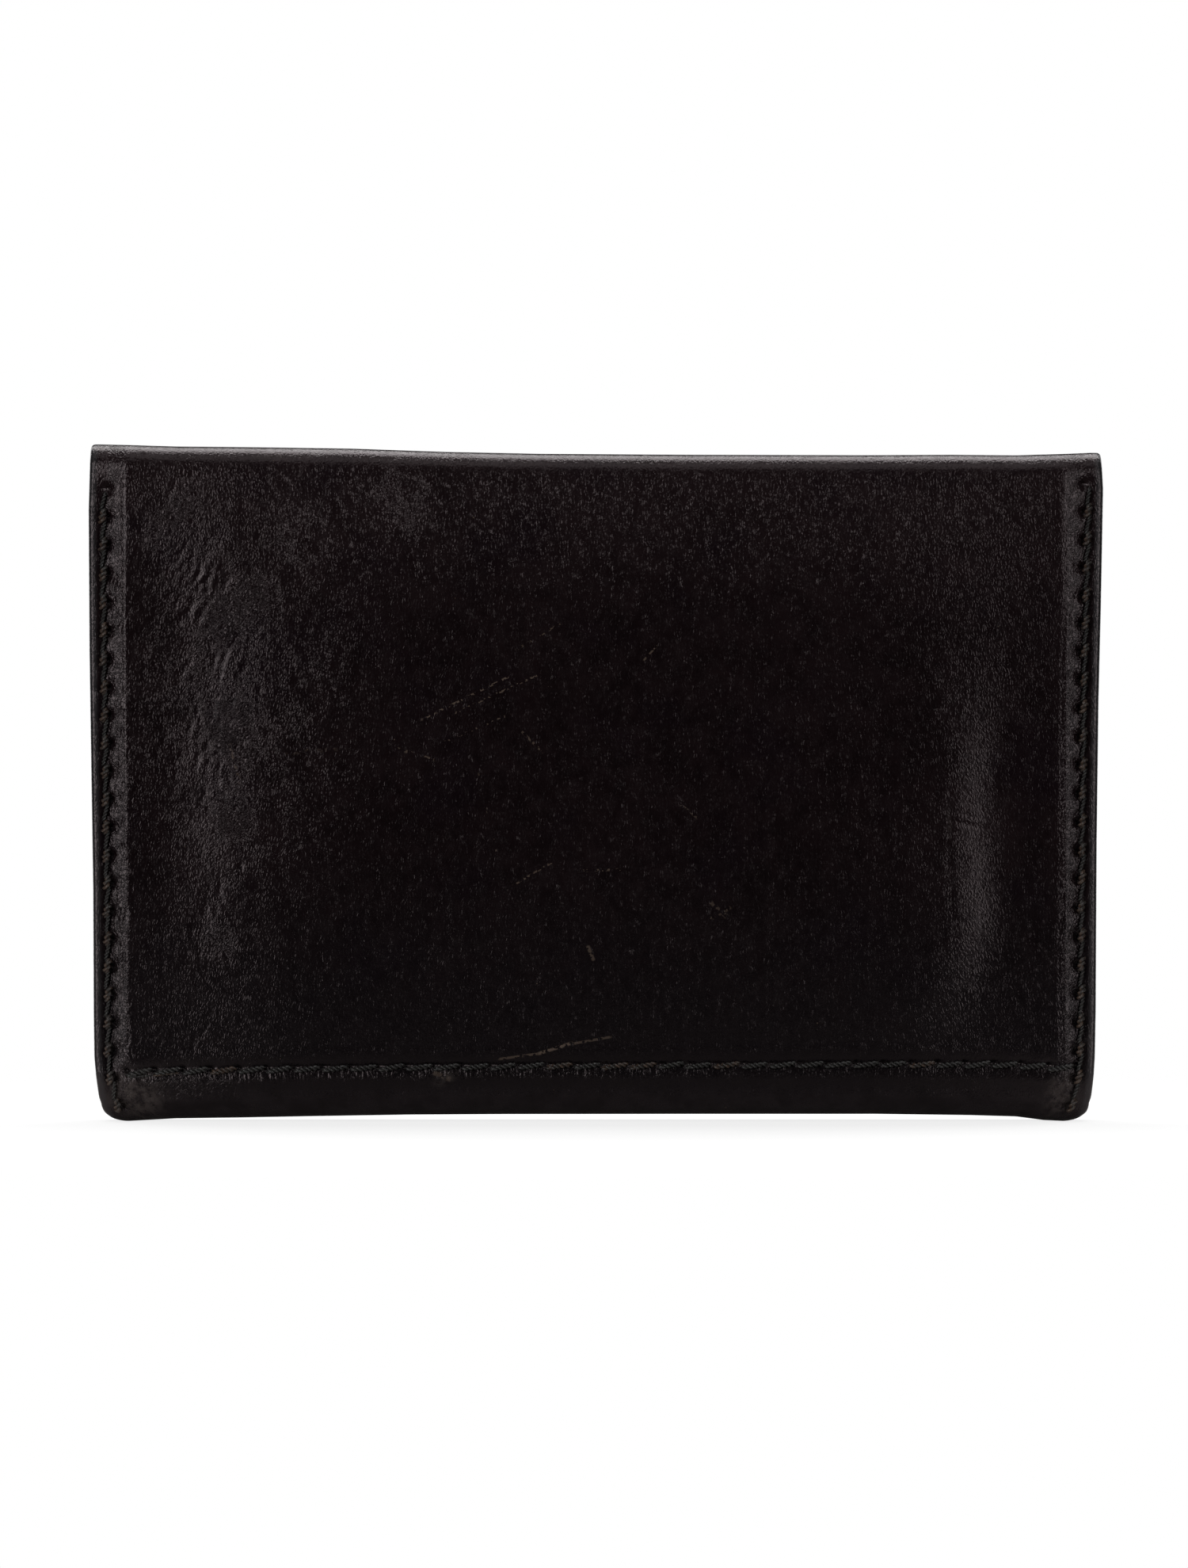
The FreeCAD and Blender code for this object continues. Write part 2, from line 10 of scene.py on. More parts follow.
import bpy
import numpy as np
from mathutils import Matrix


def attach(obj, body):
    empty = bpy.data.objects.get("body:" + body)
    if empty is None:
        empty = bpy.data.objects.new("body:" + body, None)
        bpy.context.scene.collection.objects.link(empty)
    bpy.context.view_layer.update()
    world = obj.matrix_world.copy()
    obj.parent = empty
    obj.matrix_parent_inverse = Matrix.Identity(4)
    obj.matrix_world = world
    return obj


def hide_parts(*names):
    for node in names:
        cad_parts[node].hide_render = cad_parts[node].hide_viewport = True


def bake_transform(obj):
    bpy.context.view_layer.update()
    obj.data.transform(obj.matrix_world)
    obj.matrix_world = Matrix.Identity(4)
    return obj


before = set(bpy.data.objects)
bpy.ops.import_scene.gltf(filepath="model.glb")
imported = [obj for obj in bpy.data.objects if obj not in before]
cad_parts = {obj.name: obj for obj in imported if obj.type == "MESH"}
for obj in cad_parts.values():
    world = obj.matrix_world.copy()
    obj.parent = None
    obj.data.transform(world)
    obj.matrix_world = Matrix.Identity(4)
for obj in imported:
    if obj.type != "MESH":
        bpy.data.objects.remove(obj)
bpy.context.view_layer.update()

MM = 0.001
QUARTER = math.pi / 2
TURN = 2 * math.pi

# ---------------------------------------------------------------- sizes, in mm

HALF_WIDTH = 54.0
TOP = 72.0
LEATHER = 1.2
LINING = 0.5
POCKET_LEATHER = 0.8
GUSSET_LEATHER = 0.7
LAYER_GAP = 0.02
BASE_BEND = 2.2
FOLD_BEND = 2.5
MIDDLE_Y = 2.15
BACK_Y = 7.0
FRONT_Y = -2.7
FLAP_Y = -5.8
BASE_REAR_Y = BACK_Y - BASE_BEND
BASE_FRONT_Y = FRONT_Y + BASE_BEND
FOLD_Z = TOP - FOLD_BEND
FOLD_REAR_Y = BACK_Y - FOLD_BEND
FOLD_FRONT_Y = FLAP_Y + FOLD_BEND
TOP_SPLIT_Y = 0.6
MOUTH_Z = 68.8
SLOT_Z = 60.0
FLAP_Z = 28.0
FLAP_CORNER = 9.0
BASE_CORNER = 3.0
STUD_Z = 37.5
EDGE_ROUND = 0.42
STITCH_PITCH = 3.0


# ---------------------------------------------------------------- small maths


def smooth(low, high, value):
    """0 below low, 1 above high, and a smooth step between them."""
    t = np.clip((np.asarray(value, float) - low) / (high - low), 0.0, 1.0)
    return t * t * (3 - 2 * t)


def bell(value, centre, width):
    return np.exp(-(((np.asarray(value, float) - centre) / width) ** 2))


def spaced(*bands):
    """Positions along an axis, from bands of (start, end, step)."""
    counts = [max(1, round((end - start) / step)) for start, end, step in bands]
    parts = [np.linspace(band[0], band[1], count, endpoint=False) for band, count in zip(bands, counts)]
    return np.concatenate(parts + [[bands[-1][1]]])


def lattice(x, y, seed):
    """Smooth noise from -1 to 1, with features one unit across."""
    table = np.random.default_rng(seed).uniform(-1, 1, (64, 64))
    ix, iy = np.floor(x).astype(int), np.floor(y).astype(int)
    fx, fy = smooth(0, 1, x - ix), smooth(0, 1, y - iy)
    low, high = (
        table[ix % 64, (iy + up) % 64] * (1 - fx) + table[(ix + 1) % 64, (iy + up) % 64] * fx for up in (0, 1)
    )
    return low * (1 - fy) + high * fy


def ripples(x, y, across, along, slant, seed, octaves=2):
    """Noise stretched along a direction: slant is in degrees from the vertical, towards -X."""
    angle = math.radians(-slant)
    u = (x * math.cos(angle) - y * math.sin(angle)) / across
    v = (x * math.sin(angle) + y * math.cos(angle)) / along
    layers = [
        lattice(u * 2**octave + 11 * octave, v * 2**octave + 7 * octave, seed + octave) / 2**octave
        for octave in range(octaves)
    ]
    return sum(layers)


# ---------------------------------------------------------------- the used case's shape


def half_width(x, z):
    """The used outline's half width at each height: a little more on the +X side."""
    right = np.interp(
        z,
        [0, 1, 2, 3, 5, 7, 12, 25, 40, 50, 65, 72],
        [53.45, 53.4, 53.15, 53.25, 53.5, 53.68, 53.75, 53.8, 54.05, 54.2, 54.3, 54.1],
    )
    left = np.interp(
        z,
        [0, 1, 2, 3, 5, 7, 12, 30, 45, 55, 68, 72],
        [53.3, 53.3, 52.97, 53.07, 53.28, 53.4, 53.5, 53.6, 53.8, 54.05, 54.3, 54.1],
    )
    return np.where(x > 0, right, left)


def top_height(x):
    """The used fold's height at each X."""
    return np.interp(
        x,
        [-53, -50, -45, -38, -29, -9, 6, 16, 26, 36, 45, 53],
        [71.6, 71.45, 71.3, 71.35, 71.3, 71.35, 71.45, 71.65, 72.0, 72.15, 72.25, 72.5],
    )


def base_lift(x):
    """How far the base stands clear of the floor between its pinched corners."""
    return np.interp(
        x,
        [-50, -48, -45, -40, -30, -10, 10, 20, 30, 38, 45, 50],
        [0, 0.1, 0.5, 0.65, 0.8, 0.8, 0.78, 0.72, 0.56, 0.4, 0.3, 0],
    )


def back_shift(x, z):
    """How far the back moves to +Y: the cards' bulge in the middle, and the pinched margins beside it."""
    reach = np.abs(x)
    wobble = 0.8 * ripples(x * 0, z, 9, 9, 0, 5, 1) * np.sign(x)
    # On the -X side the shoulder is crisp between 12 and 42 mm up, and soft above and below.
    crisp = smooth(2, 20, z) * (1 - smooth(37, 54, z))
    middle = np.where(x > 0, 39.8 + 1.6 * smooth(52, 62, z), 41.2 - 5.0 * (1 - smooth(6, 23, z)))
    right_spread = 4.2 + 2.4 * (1 - smooth(16, 34, z))
    left_spread = 6.2 - 3.4 * crisp + 2.2 * smooth(46, 58, z)
    shoulder = 0.5 + 0.5 * np.tanh((reach + wobble - middle) / np.where(x > 0, right_spread, left_spread))
    fade = 1 - 0.5 * smooth(56, 71, z)
    bulge = 0.5 * (1 - shoulder) * fade * (0.25 + 0.75 * smooth(1.0, 11.0, z))
    band = np.clip((reach - 50.25) / 1.85, 0, 1)
    outside = np.clip((reach - 52.1) / 1.9, 0, 1.3)
    margin = -0.6 * shoulder * fade - 0.62 * band - 0.34 * outside
    foot = -0.2 * (1 - smooth(0.5, 6.0, z)) - 0.8 * (1 - smooth(0, 5, z)) * smooth(44, 53, reach)
    lean = -0.45 * smooth(54, 73, z) ** 1.3
    slack = 0.1 * ripples(x, z, 15, 19, -14, 71) * smooth(2, 8, z) * (1 - smooth(64, 72, z))
    return bulge + margin + foot + lean + slack


def front_shift(x, z):
    """How far the front and the flap move to +Y: only their margins are pinched."""
    reach = np.abs(x)
    margin = 0.55 * smooth(40, 52, reach) + 0.3 * np.clip((reach - 50.5) / 3.5, 0, 1.2) ** 1.4
    foot = 0.9 * (1 - smooth(0, 5, z)) * smooth(46, 53, reach)
    slack = 0.08 * ripples(x, z, 19, 23, -9, 83) * smooth(22, 34, np.hypot(x, z - STUD_Z))
    return margin + foot + slack


def round_corner(rise, radius):
    """How far in from a square corner's inner point the rounded outline is, at each rise."""
    return np.sqrt(np.maximum(radius**2 - np.clip(rise, 0, radius) ** 2, 0))


def warp(points):
    """The flat layout's points, moved to the used case's shape. Round the press stud nothing moves."""
    x, y, z = np.asarray(points, float).T
    corner = HALF_WIDTH - BASE_CORNER + round_corner(BASE_CORNER - z, BASE_CORNER)
    wide = x * half_width(x, z) / HALF_WIDTH * corner / HALF_WIDTH
    lift = base_lift(wide) * (1 - smooth(1, 12, z))
    tall = z + (top_height(wide) - TOP) * smooth(45, TOP, z) + lift
    rear = smooth(1.75, 4.5, y)
    deep = y + rear * back_shift(wide, z) + (1 - rear) * front_shift(wide, z)
    return np.stack([wide, deep, tall], axis=-1)


# ---------------------------------------------------------------- courses and sheets


class Course:
    """A sheet's path in the Y-Z plane: runs and bends one after another, with the outer face on one side."""

    def __init__(self, start, heading, outer_side, first, moves):
        self.outer_side, self.first, self.last = outer_side, first, first
        self.parts = []
        place, angle = np.array(start, float), heading
        for length, turn in moves:
            self.parts.append((length, turn, place, angle, self.last))
            place = self.step(length, turn, place, angle, np.array([length]))[0][0]
            angle += turn
            self.last += length

    @staticmethod
    def step(length, turn, place, angle, along):
        """Points and headings at some lengths along one run or bend."""
        if turn == 0:
            ahead = np.stack([np.cos(angle) * along, np.sin(angle) * along], -1)
            return place + ahead, np.full(along.shape, angle)
        now = angle + turn * along / length
        swing = np.stack([np.sin(now) - math.sin(angle), math.cos(angle) - np.cos(now)], -1)
        return place + length / turn * swing, now

    def at(self, s):
        """(points, outward normals) in (Y, Z) at each s."""
        s = np.atleast_1d(np.asarray(s, float))
        points, headings = np.zeros(s.shape + (2,)), np.zeros(s.shape)
        part_of = np.searchsorted([part[-1] for part in self.parts[1:]], s, side="right")
        for index, (*part, reached) in enumerate(self.parts):
            inside = part_of == index
            points[inside], headings[inside] = self.step(*part, s[inside] - reached)
        return points, self.outer_side * np.stack([np.sin(headings), -np.cos(headings)], -1)


def course_round_base(base_run, turn_side, moves):
    """From the middle of the base, along it and up: s is the height on the upright run."""
    bend = BASE_BEND * QUARTER
    heading = 0.0 if turn_side > 0 else math.pi
    first = BASE_BEND - bend - base_run
    moves = [(base_run, 0), (bend, turn_side * QUARTER)] + moves
    return Course((MIDDLE_Y, 0.0), heading, turn_side, first, moves)


FOLD_ARC = FOLD_BEND * QUARTER
REAR_COURSE = course_round_base(
    BASE_REAR_Y - MIDDLE_Y,
    1,
    [(FOLD_Z - BASE_BEND, 0), (FOLD_ARC, QUARTER), (FOLD_REAR_Y - TOP_SPLIT_Y, 0)],
)
FRONT_COURSE = course_round_base(MIDDLE_Y - BASE_FRONT_Y, -1, [(MOUTH_Z - BASE_BEND, 0)])
TOP_RUN = TOP_SPLIT_Y - FOLD_FRONT_Y
FLAP_COURSE = Course(
    (TOP_SPLIT_Y, TOP), math.pi, 1, 0.0, [(TOP_RUN, 0), (FOLD_ARC, QUARTER), (FOLD_Z - FLAP_Z, 0)]
)
FLAP_DOWN = TOP_RUN + FOLD_ARC  # where the flap's upright run starts
FLAP_END = FLAP_COURSE.last

NO_END = 1000.0  # for a sheet whose last end is a cut and not an edge


class Sheet:
    """One skin of leather on a course: from depth_out under the course's line to depth_in."""

    def __init__(self, course, depth_out, depth_in, high, corner=0.0, inset=0.0):
        self.course, self.depth_out, self.depth_in = course, depth_out, depth_in
        self.high, self.corner, self.half = high, corner, HALF_WIDTH - inset

    def half_at(self, s):
        """The outline's half width, with the rounded corners at the sheet's last end."""
        return self.half - self.corner + round_corner(self.corner - (self.high - s), self.corner)

    def edge(self, x, s):
        """Distance from the sheet's real edges: its sides and its last end."""
        reach, left, inner = np.abs(x), self.high - s, self.half - self.corner
        curved = (reach > inner) & (left < self.corner)
        round_distance = self.corner - np.hypot(reach - inner, self.corner - left)
        return np.where(curved, round_distance, np.minimum(self.half - reach, left))

    def place(self, x, s, depth):
        """Flat-layout points at a depth under the course's line."""
        x, s, depth = np.broadcast_arrays(x, s, depth)
        yz, normal = self.course.at(s.ravel())
        yz = yz - normal * depth.ravel()[:, None]
        return np.column_stack([x.ravel(), yz]).reshape(x.shape + (3,))


def new_object(name, data):
    thing = bpy.data.objects.new(name, data)
    bpy.context.scene.collection.objects.link(thing)
    return thing


def make_mesh(name, points, faces, pattern, flat_faces=0):
    """A mesh object from mm points in the flat layout, with its pattern coordinates stored on it.
    The last flat_faces of the faces are shaded flat."""
    mesh = bpy.data.meshes.new(name)
    faces = np.asarray(faces, np.int32)
    mesh.vertices.add(len(points))
    mesh.vertices.foreach_set("co", (warp(points) * MM).astype(np.float32).ravel())
    mesh.loops.add(faces.size)
    mesh.loops.foreach_set("vertex_index", faces.ravel())
    mesh.polygons.add(len(faces))
    mesh.polygons.foreach_set("loop_start", np.arange(0, faces.size, faces.shape[1], dtype=np.int32))
    mesh.polygons.foreach_set("use_smooth", np.arange(len(faces)) < len(faces) - flat_faces)
    attribute = mesh.attributes.new("pat", "FLOAT_VECTOR", "POINT")
    attribute.data.foreach_set("vector", np.asarray(pattern, np.float32).ravel())
    mesh.update(calc_edges=True)
    return new_object(name, mesh)


OTHER_SIDE = np.array([200.0, 0.0, 0.0])  # moves the pattern, so that the inner face doesn't repeat the outer


def closed_skin(name, outer, inner, pattern, flip=False, cuts=()):
    """Two grids of the same size, joined round their border into one closed solid.
    cuts names the ends ("first" or "last" row) where the same leather goes on in another piece."""
    count = outer[..., 0].size
    index = np.arange(count).reshape(outer.shape[:2])
    a, b, c, d = index[:-1, :-1], index[:-1, 1:], index[1:, 1:], index[1:, :-1]
    ahead, back = (np.stack(order, -1).reshape(-1, 4) for order in ((a, b, c, d), (a, d, c, b)))
    faces = [back, ahead + count] if flip else [ahead, back + count]
    strips = {
        "right": (index[:-1, -1], index[1:, -1]),
        "last": (index[-1, :0:-1], index[-1, -2::-1]),
        "left": (index[:0:-1, 0], index[-2::-1, 0]),
        "first": (index[0, :-1], index[0, 1:]),
    }
    for side in [side for side in strips if side not in cuts] + list(cuts):
        near, far = strips[side]
        wall = np.stack([near, near + count, far + count, far], -1)
        faces.append(wall[:, ::-1] if flip else wall)
    points = np.concatenate([outer.reshape(-1, 3), inner.reshape(-1, 3)])
    patterns = np.concatenate([pattern.reshape(-1, 3), (pattern + OTHER_SIDE).reshape(-1, 3)])
    flat_faces = sum(len(strips[side][0]) for side in cuts)
    return make_mesh(name, points, np.concatenate(faces), patterns, flat_faces)


EDGE_STEPS = np.array([0.0, 0.04, 0.1, 0.18, 0.28, 0.4, 0.55])


def up_to_edge(end, *bands):
    """Positions from bands, and then close together up to a rounded edge."""
    return np.concatenate([spaced(*bands), (end - EDGE_STEPS)[::-1]])


def across(*bands):
    """X positions from one edge to the other, close together at the rounded edges."""
    return np.concatenate([EDGE_STEPS - HALF_WIDTH, up_to_edge(HALF_WIDTH, *bands)])


def rounding(distance, radius):
    """How far a rounded edge has dropped at a distance from it."""
    return radius - round_corner(radius - distance, radius)


CUT_ROW = 0.02


def build(name, sheet, x_flat, s_rows, relief=None, pattern_start=0.0, way=1, flip=False, cuts=("first",)):
    """The mesh of a sheet. relief(x, s, edge) is added to the outer face, outwards. One more row close to
    each cut keeps the cut wall's normals out of the face. The pattern's height is pattern_start + way * s."""
    near = {"first": s_rows[0] + CUT_ROW, "last": s_rows[-1] - CUT_ROW}
    s_rows = np.sort(np.append(s_rows, [near[end] for end in cuts]))
    x = x_flat[None, :] * (sheet.half_at(s_rows) / sheet.half)[:, None]
    s = np.broadcast_to(s_rows[:, None], x.shape)
    edge = np.maximum(sheet.edge(x, s), 0)
    drop = rounding(edge, min(EDGE_ROUND, (sheet.depth_in - sheet.depth_out) * 0.45))
    raised = relief(x, s, edge) if relief else 0.0
    outer = sheet.place(x, s, sheet.depth_out + drop - raised)
    inner = sheet.place(x, s, sheet.depth_in - drop)
    return closed_skin(name, outer, inner, np.stack([x, pattern_start + way * s, edge], -1), flip, cuts)


# ---------------------------------------------------------------- creases and wear in the leather


def crease(x, z, start, end, width, depth, bow=0.0):
    """A groove with soft lips along a bowed line. Both its ends fade out."""
    (x0, z0), (x1, z1) = start, end
    length = math.hypot(x1 - x0, z1 - z0)
    ux, uz = (x1 - x0) / length, (z1 - z0) / length
    along = ((x - x0) * ux + (z - z0) * uz) / length
    side = (x - x0) * uz - (z - z0) * ux + bow * 4 * along * (1 - along)
    fade = smooth(-0.08, 0.3, along) * (1 - smooth(0.7, 1.08, along))
    return depth * fade * (0.55 * bell(np.abs(side), 1.7 * width, width) - bell(side, 0, width))


def crease_group(x, z, centre, spread, count, length, slant, width, depth, seed):
    """Creases scattered about a centre, all with nearly the same slant from the vertical, towards -X."""
    random = np.random.default_rng(seed)
    total = np.zeros_like(x, dtype=float)
    for _ in range(count):
        cx, cz = np.array(centre) + random.normal(0, 1, 2) * spread
        angle = -math.radians(slant + random.normal(0, 11))
        reach = length * random.uniform(0.5, 1.2) / 2
        dx, dz = math.sin(angle) * reach, math.cos(angle) * reach
        wide = width * random.uniform(0.7, 1.4)
        deep = depth * random.uniform(0.4, 1.1)
        bow = random.normal(0, 0.12) * reach
        near = (np.abs(x - cx) < reach + 2) & (np.abs(z - cz) < reach + 2)
        total[near] += crease(x[near], z[near], (cx - dx, cz - dz), (cx + dx, cz + dz), wide, deep, bow)
    return total


def crease_groups(x, z, groups, first_seed):
    """Groups with seeds one after another."""
    return sum(crease_group(x, z, *group, seed) for seed, group in enumerate(groups, start=first_seed))


def dents(x, s, holes, radius, depth):
    """A round dent at each hole."""
    total = np.zeros_like(x, dtype=float)
    for hx, hs in holes:
        near = (np.abs(x - hx) < 3 * radius) & (np.abs(s - hs) < 3 * radius)
        total[near] -= depth * np.exp(-(((x[near] - hx) ** 2 + (s[near] - hs) ** 2) / radius**2))
    return total


def uneven(x, s, seed):
    """The uneven surface of a skin with no marks of its own."""
    return 0.03 * ripples(x, s, 3.0, 4.2, 10, seed)


# ---------------------------------------------------------------- seams


def pitched(start, end, pitch=STITCH_PITCH):
    """Evenly spaced values from start to end, near the pitch."""
    return np.linspace(start, end, max(1, round(abs(end - start) / pitch)) + 1)


def side_inset(s, base):
    """A side seam's distance from the edge: it runs slightly inward at its foot."""
    return base + 0.5 * (1 - smooth(0, 6, s))


SIDE_BASE = {1: 1.5, -1: 1.6}
REAR_SIDE_ENDS = {1: (1.6, 67.2), -1: (1.6, 68.6)}
FRONT_SIDE_ENDS = (2.2, 65.8)
CREASE_INSET = {1: 3.4, -1: 3.9}
FOOT_ENDS = (-52.0, 50.6)
MOUTH_SEAM_Z = 66.8
FLAP_SEAM_INSET = 2.0


def foot_level(x):
    """The height of the seam across the foot."""
    return 5.5 - 0.3 * x / 51


def side_column(side, ends, more):
    """(x, s) of the needle holes up one side."""
    return [(side * (HALF_WIDTH - side_inset(s, SIDE_BASE[side] + more)), s) for s in pitched(*ends)]


def flap_path():
    """(x, s) along the flap's seam: down the -X side, round the corner, across and up the +X side."""
    radius = FLAP_CORNER - FLAP_SEAM_INSET
    side, bottom = HALF_WIDTH - FLAP_SEAM_INSET, FLAP_END - FLAP_SEAM_INSET
    down = [(-side, s) for s in np.linspace(FLAP_DOWN + 1.5, bottom - radius, 80)]
    for angle in np.linspace(0, QUARTER, 30)[1:]:
        down.append((-side + radius * (1 - math.cos(angle)), bottom - radius + radius * math.sin(angle)))
    foot = [(x, bottom) for x in np.linspace(-side + radius, side - radius, 160)[1:]]
    return np.array(down + foot + [(-x, s) for x, s in down[-2::-1]])


def along_path(path, pitch):
    """Evenly spaced points along a path, near the pitch."""
    lengths = np.concatenate([[0], np.cumsum(np.hypot(*np.diff(path, axis=0).T))])
    return [tuple(np.interp(t, lengths, part) for part in path.T) for t in pitched(0, lengths[-1], pitch)]


REAR_SIDE_HOLES = {side: side_column(side, REAR_SIDE_ENDS[side], 0.5) for side in (1, -1)}
FRONT_SIDE_HOLES = {side: side_column(side, FRONT_SIDE_ENDS, 0.35) for side in (1, -1)}
FOOT_HOLES = [(x, foot_level(x) + 0.22) for x in pitched(*FOOT_ENDS)]
MOUTH_HOLES = [(x, MOUTH_SEAM_Z) for x in pitched(-51.0, 51.0)]
FLAP_HOLES = along_path(flap_path(), STITCH_PITCH)


# ---------------------------------------------------------------- what is pressed and worn into each skin

# (centre, spread, count, length, slant, width, depth) of each group of creases on the back.
CREASE_GROUPS = (
    ((42.3, 68.0), (0.9, 1.4), 14, 2.6, 38, 0.2, 0.040),  # the slanting band, from the fold
    ((44.6, 65.0), (1.0, 1.4), 26, 2.4, 36, 0.2, 0.045),
    ((46.6, 61.8), (1.0, 1.4), 22, 2.2, 34, 0.2, 0.040),
    ((27.0, 68.2), (1.8, 1.2), 16, 2.0, 14, 0.18, 0.035),  # streaks under the fold
    ((35.0, 65.5), (4.0, 2.5), 22, 1.8, 22, 0.18, 0.025),
    ((31.0, 60.0), (5.0, 3.5), 34, 2.0, 30, 0.18, 0.025),
    ((42.0, 58.0), (2.2, 2.0), 44, 2.6, 36, 0.2, 0.045),  # the crumpled patch on the +X shoulder
    ((40.5, 53.0), (2.8, 2.6), 60, 2.4, 34, 0.2, 0.045),
    ((40.0, 46.0), (2.6, 2.8), 60, 2.0, 24, 0.2, 0.042),
    ((41.0, 40.0), (2.4, 2.6), 46, 1.8, 14, 0.2, 0.040),
    ((42.0, 34.0), (1.8, 2.4), 26, 1.7, 10, 0.2, 0.035),
    ((41.0, 26.5), (2.0, 3.2), 30, 1.4, 0, 0.19, 0.035),
    ((40.6, 20.4), (1.4, 1.8), 16, 1.4, -40, 0.19, 0.045),
    ((46.0, 30.0), (1.6, 9.0), 40, 1.6, 8, 0.18, 0.022),
    ((46.0, 9.0), (2.4, 1.6), 16, 1.6, 12, 0.2, 0.030),
    ((50.9, 58.0), (0.5, 5.5), 60, 1.2, 24, 0.17, 0.040),  # the polished band beside the +X seam
    ((50.9, 40.0), (0.5, 8.0), 80, 1.2, 24, 0.17, 0.040),
    ((50.9, 18.0), (0.5, 7.0), 60, 1.2, 14, 0.17, 0.036),
    ((-50.9, 50.0), (0.4, 9.0), 50, 1.0, 8, 0.16, 0.024),  # and beside the -X seam
    ((-50.9, 20.0), (0.4, 9.0), 36, 1.0, 6, 0.16, 0.018),
    ((42.0, 3.6), (3.2, 0.5), 34, 1.7, 3, 0.17, 0.032),  # puckers under the seam across the foot
    ((31.0, 3.8), (5.0, 0.4), 24, 1.3, 0, 0.17, 0.020),
    ((0.0, 4.0), (30.0, 0.4), 60, 1.0, 0, 0.17, 0.012),
)

# (start, end, width, depth, bow) of single marks on the back's -X shoulder.
SHOULDER_MARKS = (
    ((-37.5, 32.2), (-42.0, 31.4), 0.22, 0.045, 0.0),
    ((-37.0, 33.6), (-40.8, 32.6), 0.2, 0.035, 0.0),
    ((-40.2, 48), (-40, 42.8), 0.2, 0.04, 0.0),
    ((-38.3, 38), (-38.6, 20), 0.35, 0.02, 0.4),
)


def wrinkles(x, z):
    """The wrinkled areas of the back, and the soft, uneven surface everywhere."""
    total = crease_groups(x, z, CREASE_GROUPS, 201)
    total += sum(crease(x, z, *mark) for mark in SHOULDER_MARKS)
    total += 0.010 * ripples(x, z, 2.2, 3.4, 16, 301)
    patch = bell(x, 40.5, 5.0) * smooth(14, 22, z) * (1 - smooth(60, 68, z))
    total += 0.035 * patch * ripples(x, z, 1.7, 3.0, 30, 305)
    return 1.2 * total * smooth(-1.0, 1.5, z) * (1 - smooth(69.5, 73.5, z))


def back_relief(x, s, edge):
    """Seam grooves, crease lines and wrinkles."""
    relief = np.zeros_like(x, dtype=float)
    upright = smooth(-1.0, 1.5, s) * (1 - smooth(70.5, 73.0, s))
    for side in (1, -1):
        inset, high = HALF_WIDTH - side * x, REAR_SIDE_ENDS[side][1]
        groove = bell(inset, side_inset(s, SIDE_BASE[side]), 0.5) * smooth(0.6, 2.0, s)
        relief -= 0.14 * groove * (1 - smooth(high - 0.5, high + 1.5, s))
        relief += dents(x, s, REAR_SIDE_HOLES[side], 0.36, 0.5)
        relief += dents(x, s, REAR_SIDE_HOLES[side], 1.2, 0.16)
        line = CREASE_INSET[side] + 0.12 * lattice(s / 7, s * 0 + side, 17)
        relief -= 0.05 * bell(inset, line, 0.22) * upright
    off, (low, high) = s - foot_level(x), FOOT_ENDS
    swell = 0.06 * (bell(off, 1.5, 0.8) + bell(off, -1.5, 0.8)) - 0.08 * bell(off, 0, 0.6)
    relief += swell * smooth(low - 0.8, low, x) * (1 - smooth(high, high + 0.8, x))
    relief += dents(x, s, FOOT_HOLES, 0.3, 0.5)
    relief += dents(x, s, FOOT_HOLES, 1.0, 0.07)
    return relief + wrinkles(x, s)


FRONT_CREASES = (
    ((0, 4.5), (40, 1.2), 26, 2.6, 0, 0.4, 0.03),
    ((-43, 20), (2.5, 12), 22, 3.4, 8, 0.36, 0.04),
    ((44, 24), (2.5, 12), 22, 3.4, -8, 0.36, 0.04),
)


def front_relief(x, s, edge):
    """Seam grooves, a crease line beside each side seam, and a few creases."""
    relief = uneven(x, s, 401)
    for side in (1, -1):
        inset = HALF_WIDTH - side * x
        groove = bell(inset, side_inset(s, SIDE_BASE[side]), 0.62) * smooth(0.8, 2.4, s)
        relief -= 0.3 * groove * (1 - smooth(65.8, 67.4, s))
        relief += dents(x, s, FRONT_SIDE_HOLES[side], 0.36, 0.3)
        relief += (-0.08 * bell(inset, 3.6, 0.22) + 0.06 * bell(inset, 2.9, 0.6)) * smooth(-1, 1.5, s)
    relief -= 0.26 * bell(s, MOUTH_SEAM_Z, 0.5) * (1 - smooth(50.8, 51.6, np.abs(x)))
    relief += dents(x, s, MOUTH_HOLES, 0.34, 0.35)
    return relief + crease_groups(x, s, FRONT_CREASES, 402)


FLAP_CREASES = (
    ((0, 68), (34, 1.6), 34, 3.6, 0, 0.36, 0.045),
    ((38, 58), (7, 7), 20, 4.5, 30, 0.4, 0.045),
    ((-40, 55), (6, 7), 18, 4.5, -28, 0.4, 0.045),
    ((0, 46), (13, 4), 12, 5.5, 85, 0.45, 0.03),
    ((0, 31.5), (30, 1.2), 16, 2.6, 5, 0.36, 0.03),
)


def flap_relief(x, s, edge):
    """The seam's groove, the dished leather round the cap, and creases away from it."""
    relief = uneven(x, s, 501) * smooth(0, 2.5, s)
    relief -= 0.28 * bell(edge, FLAP_SEAM_INSET, 0.52) * smooth(FLAP_DOWN, FLAP_DOWN + 2.0, s)
    relief += dents(x, s, FLAP_HOLES, 0.34, 0.35)
    z = FOLD_Z + FLAP_DOWN - s
    stud = np.hypot(x, z - STUD_Z)
    relief += 0.10 * bell(stud, 9.2, 2.2) - 0.18 * bell(stud, 6.3, 1.1)
    return relief + smooth(8.5, 12, stud) * crease_groups(x, z, FLAP_CREASES, 502)


# ---------------------------------------------------------------- the leather pieces

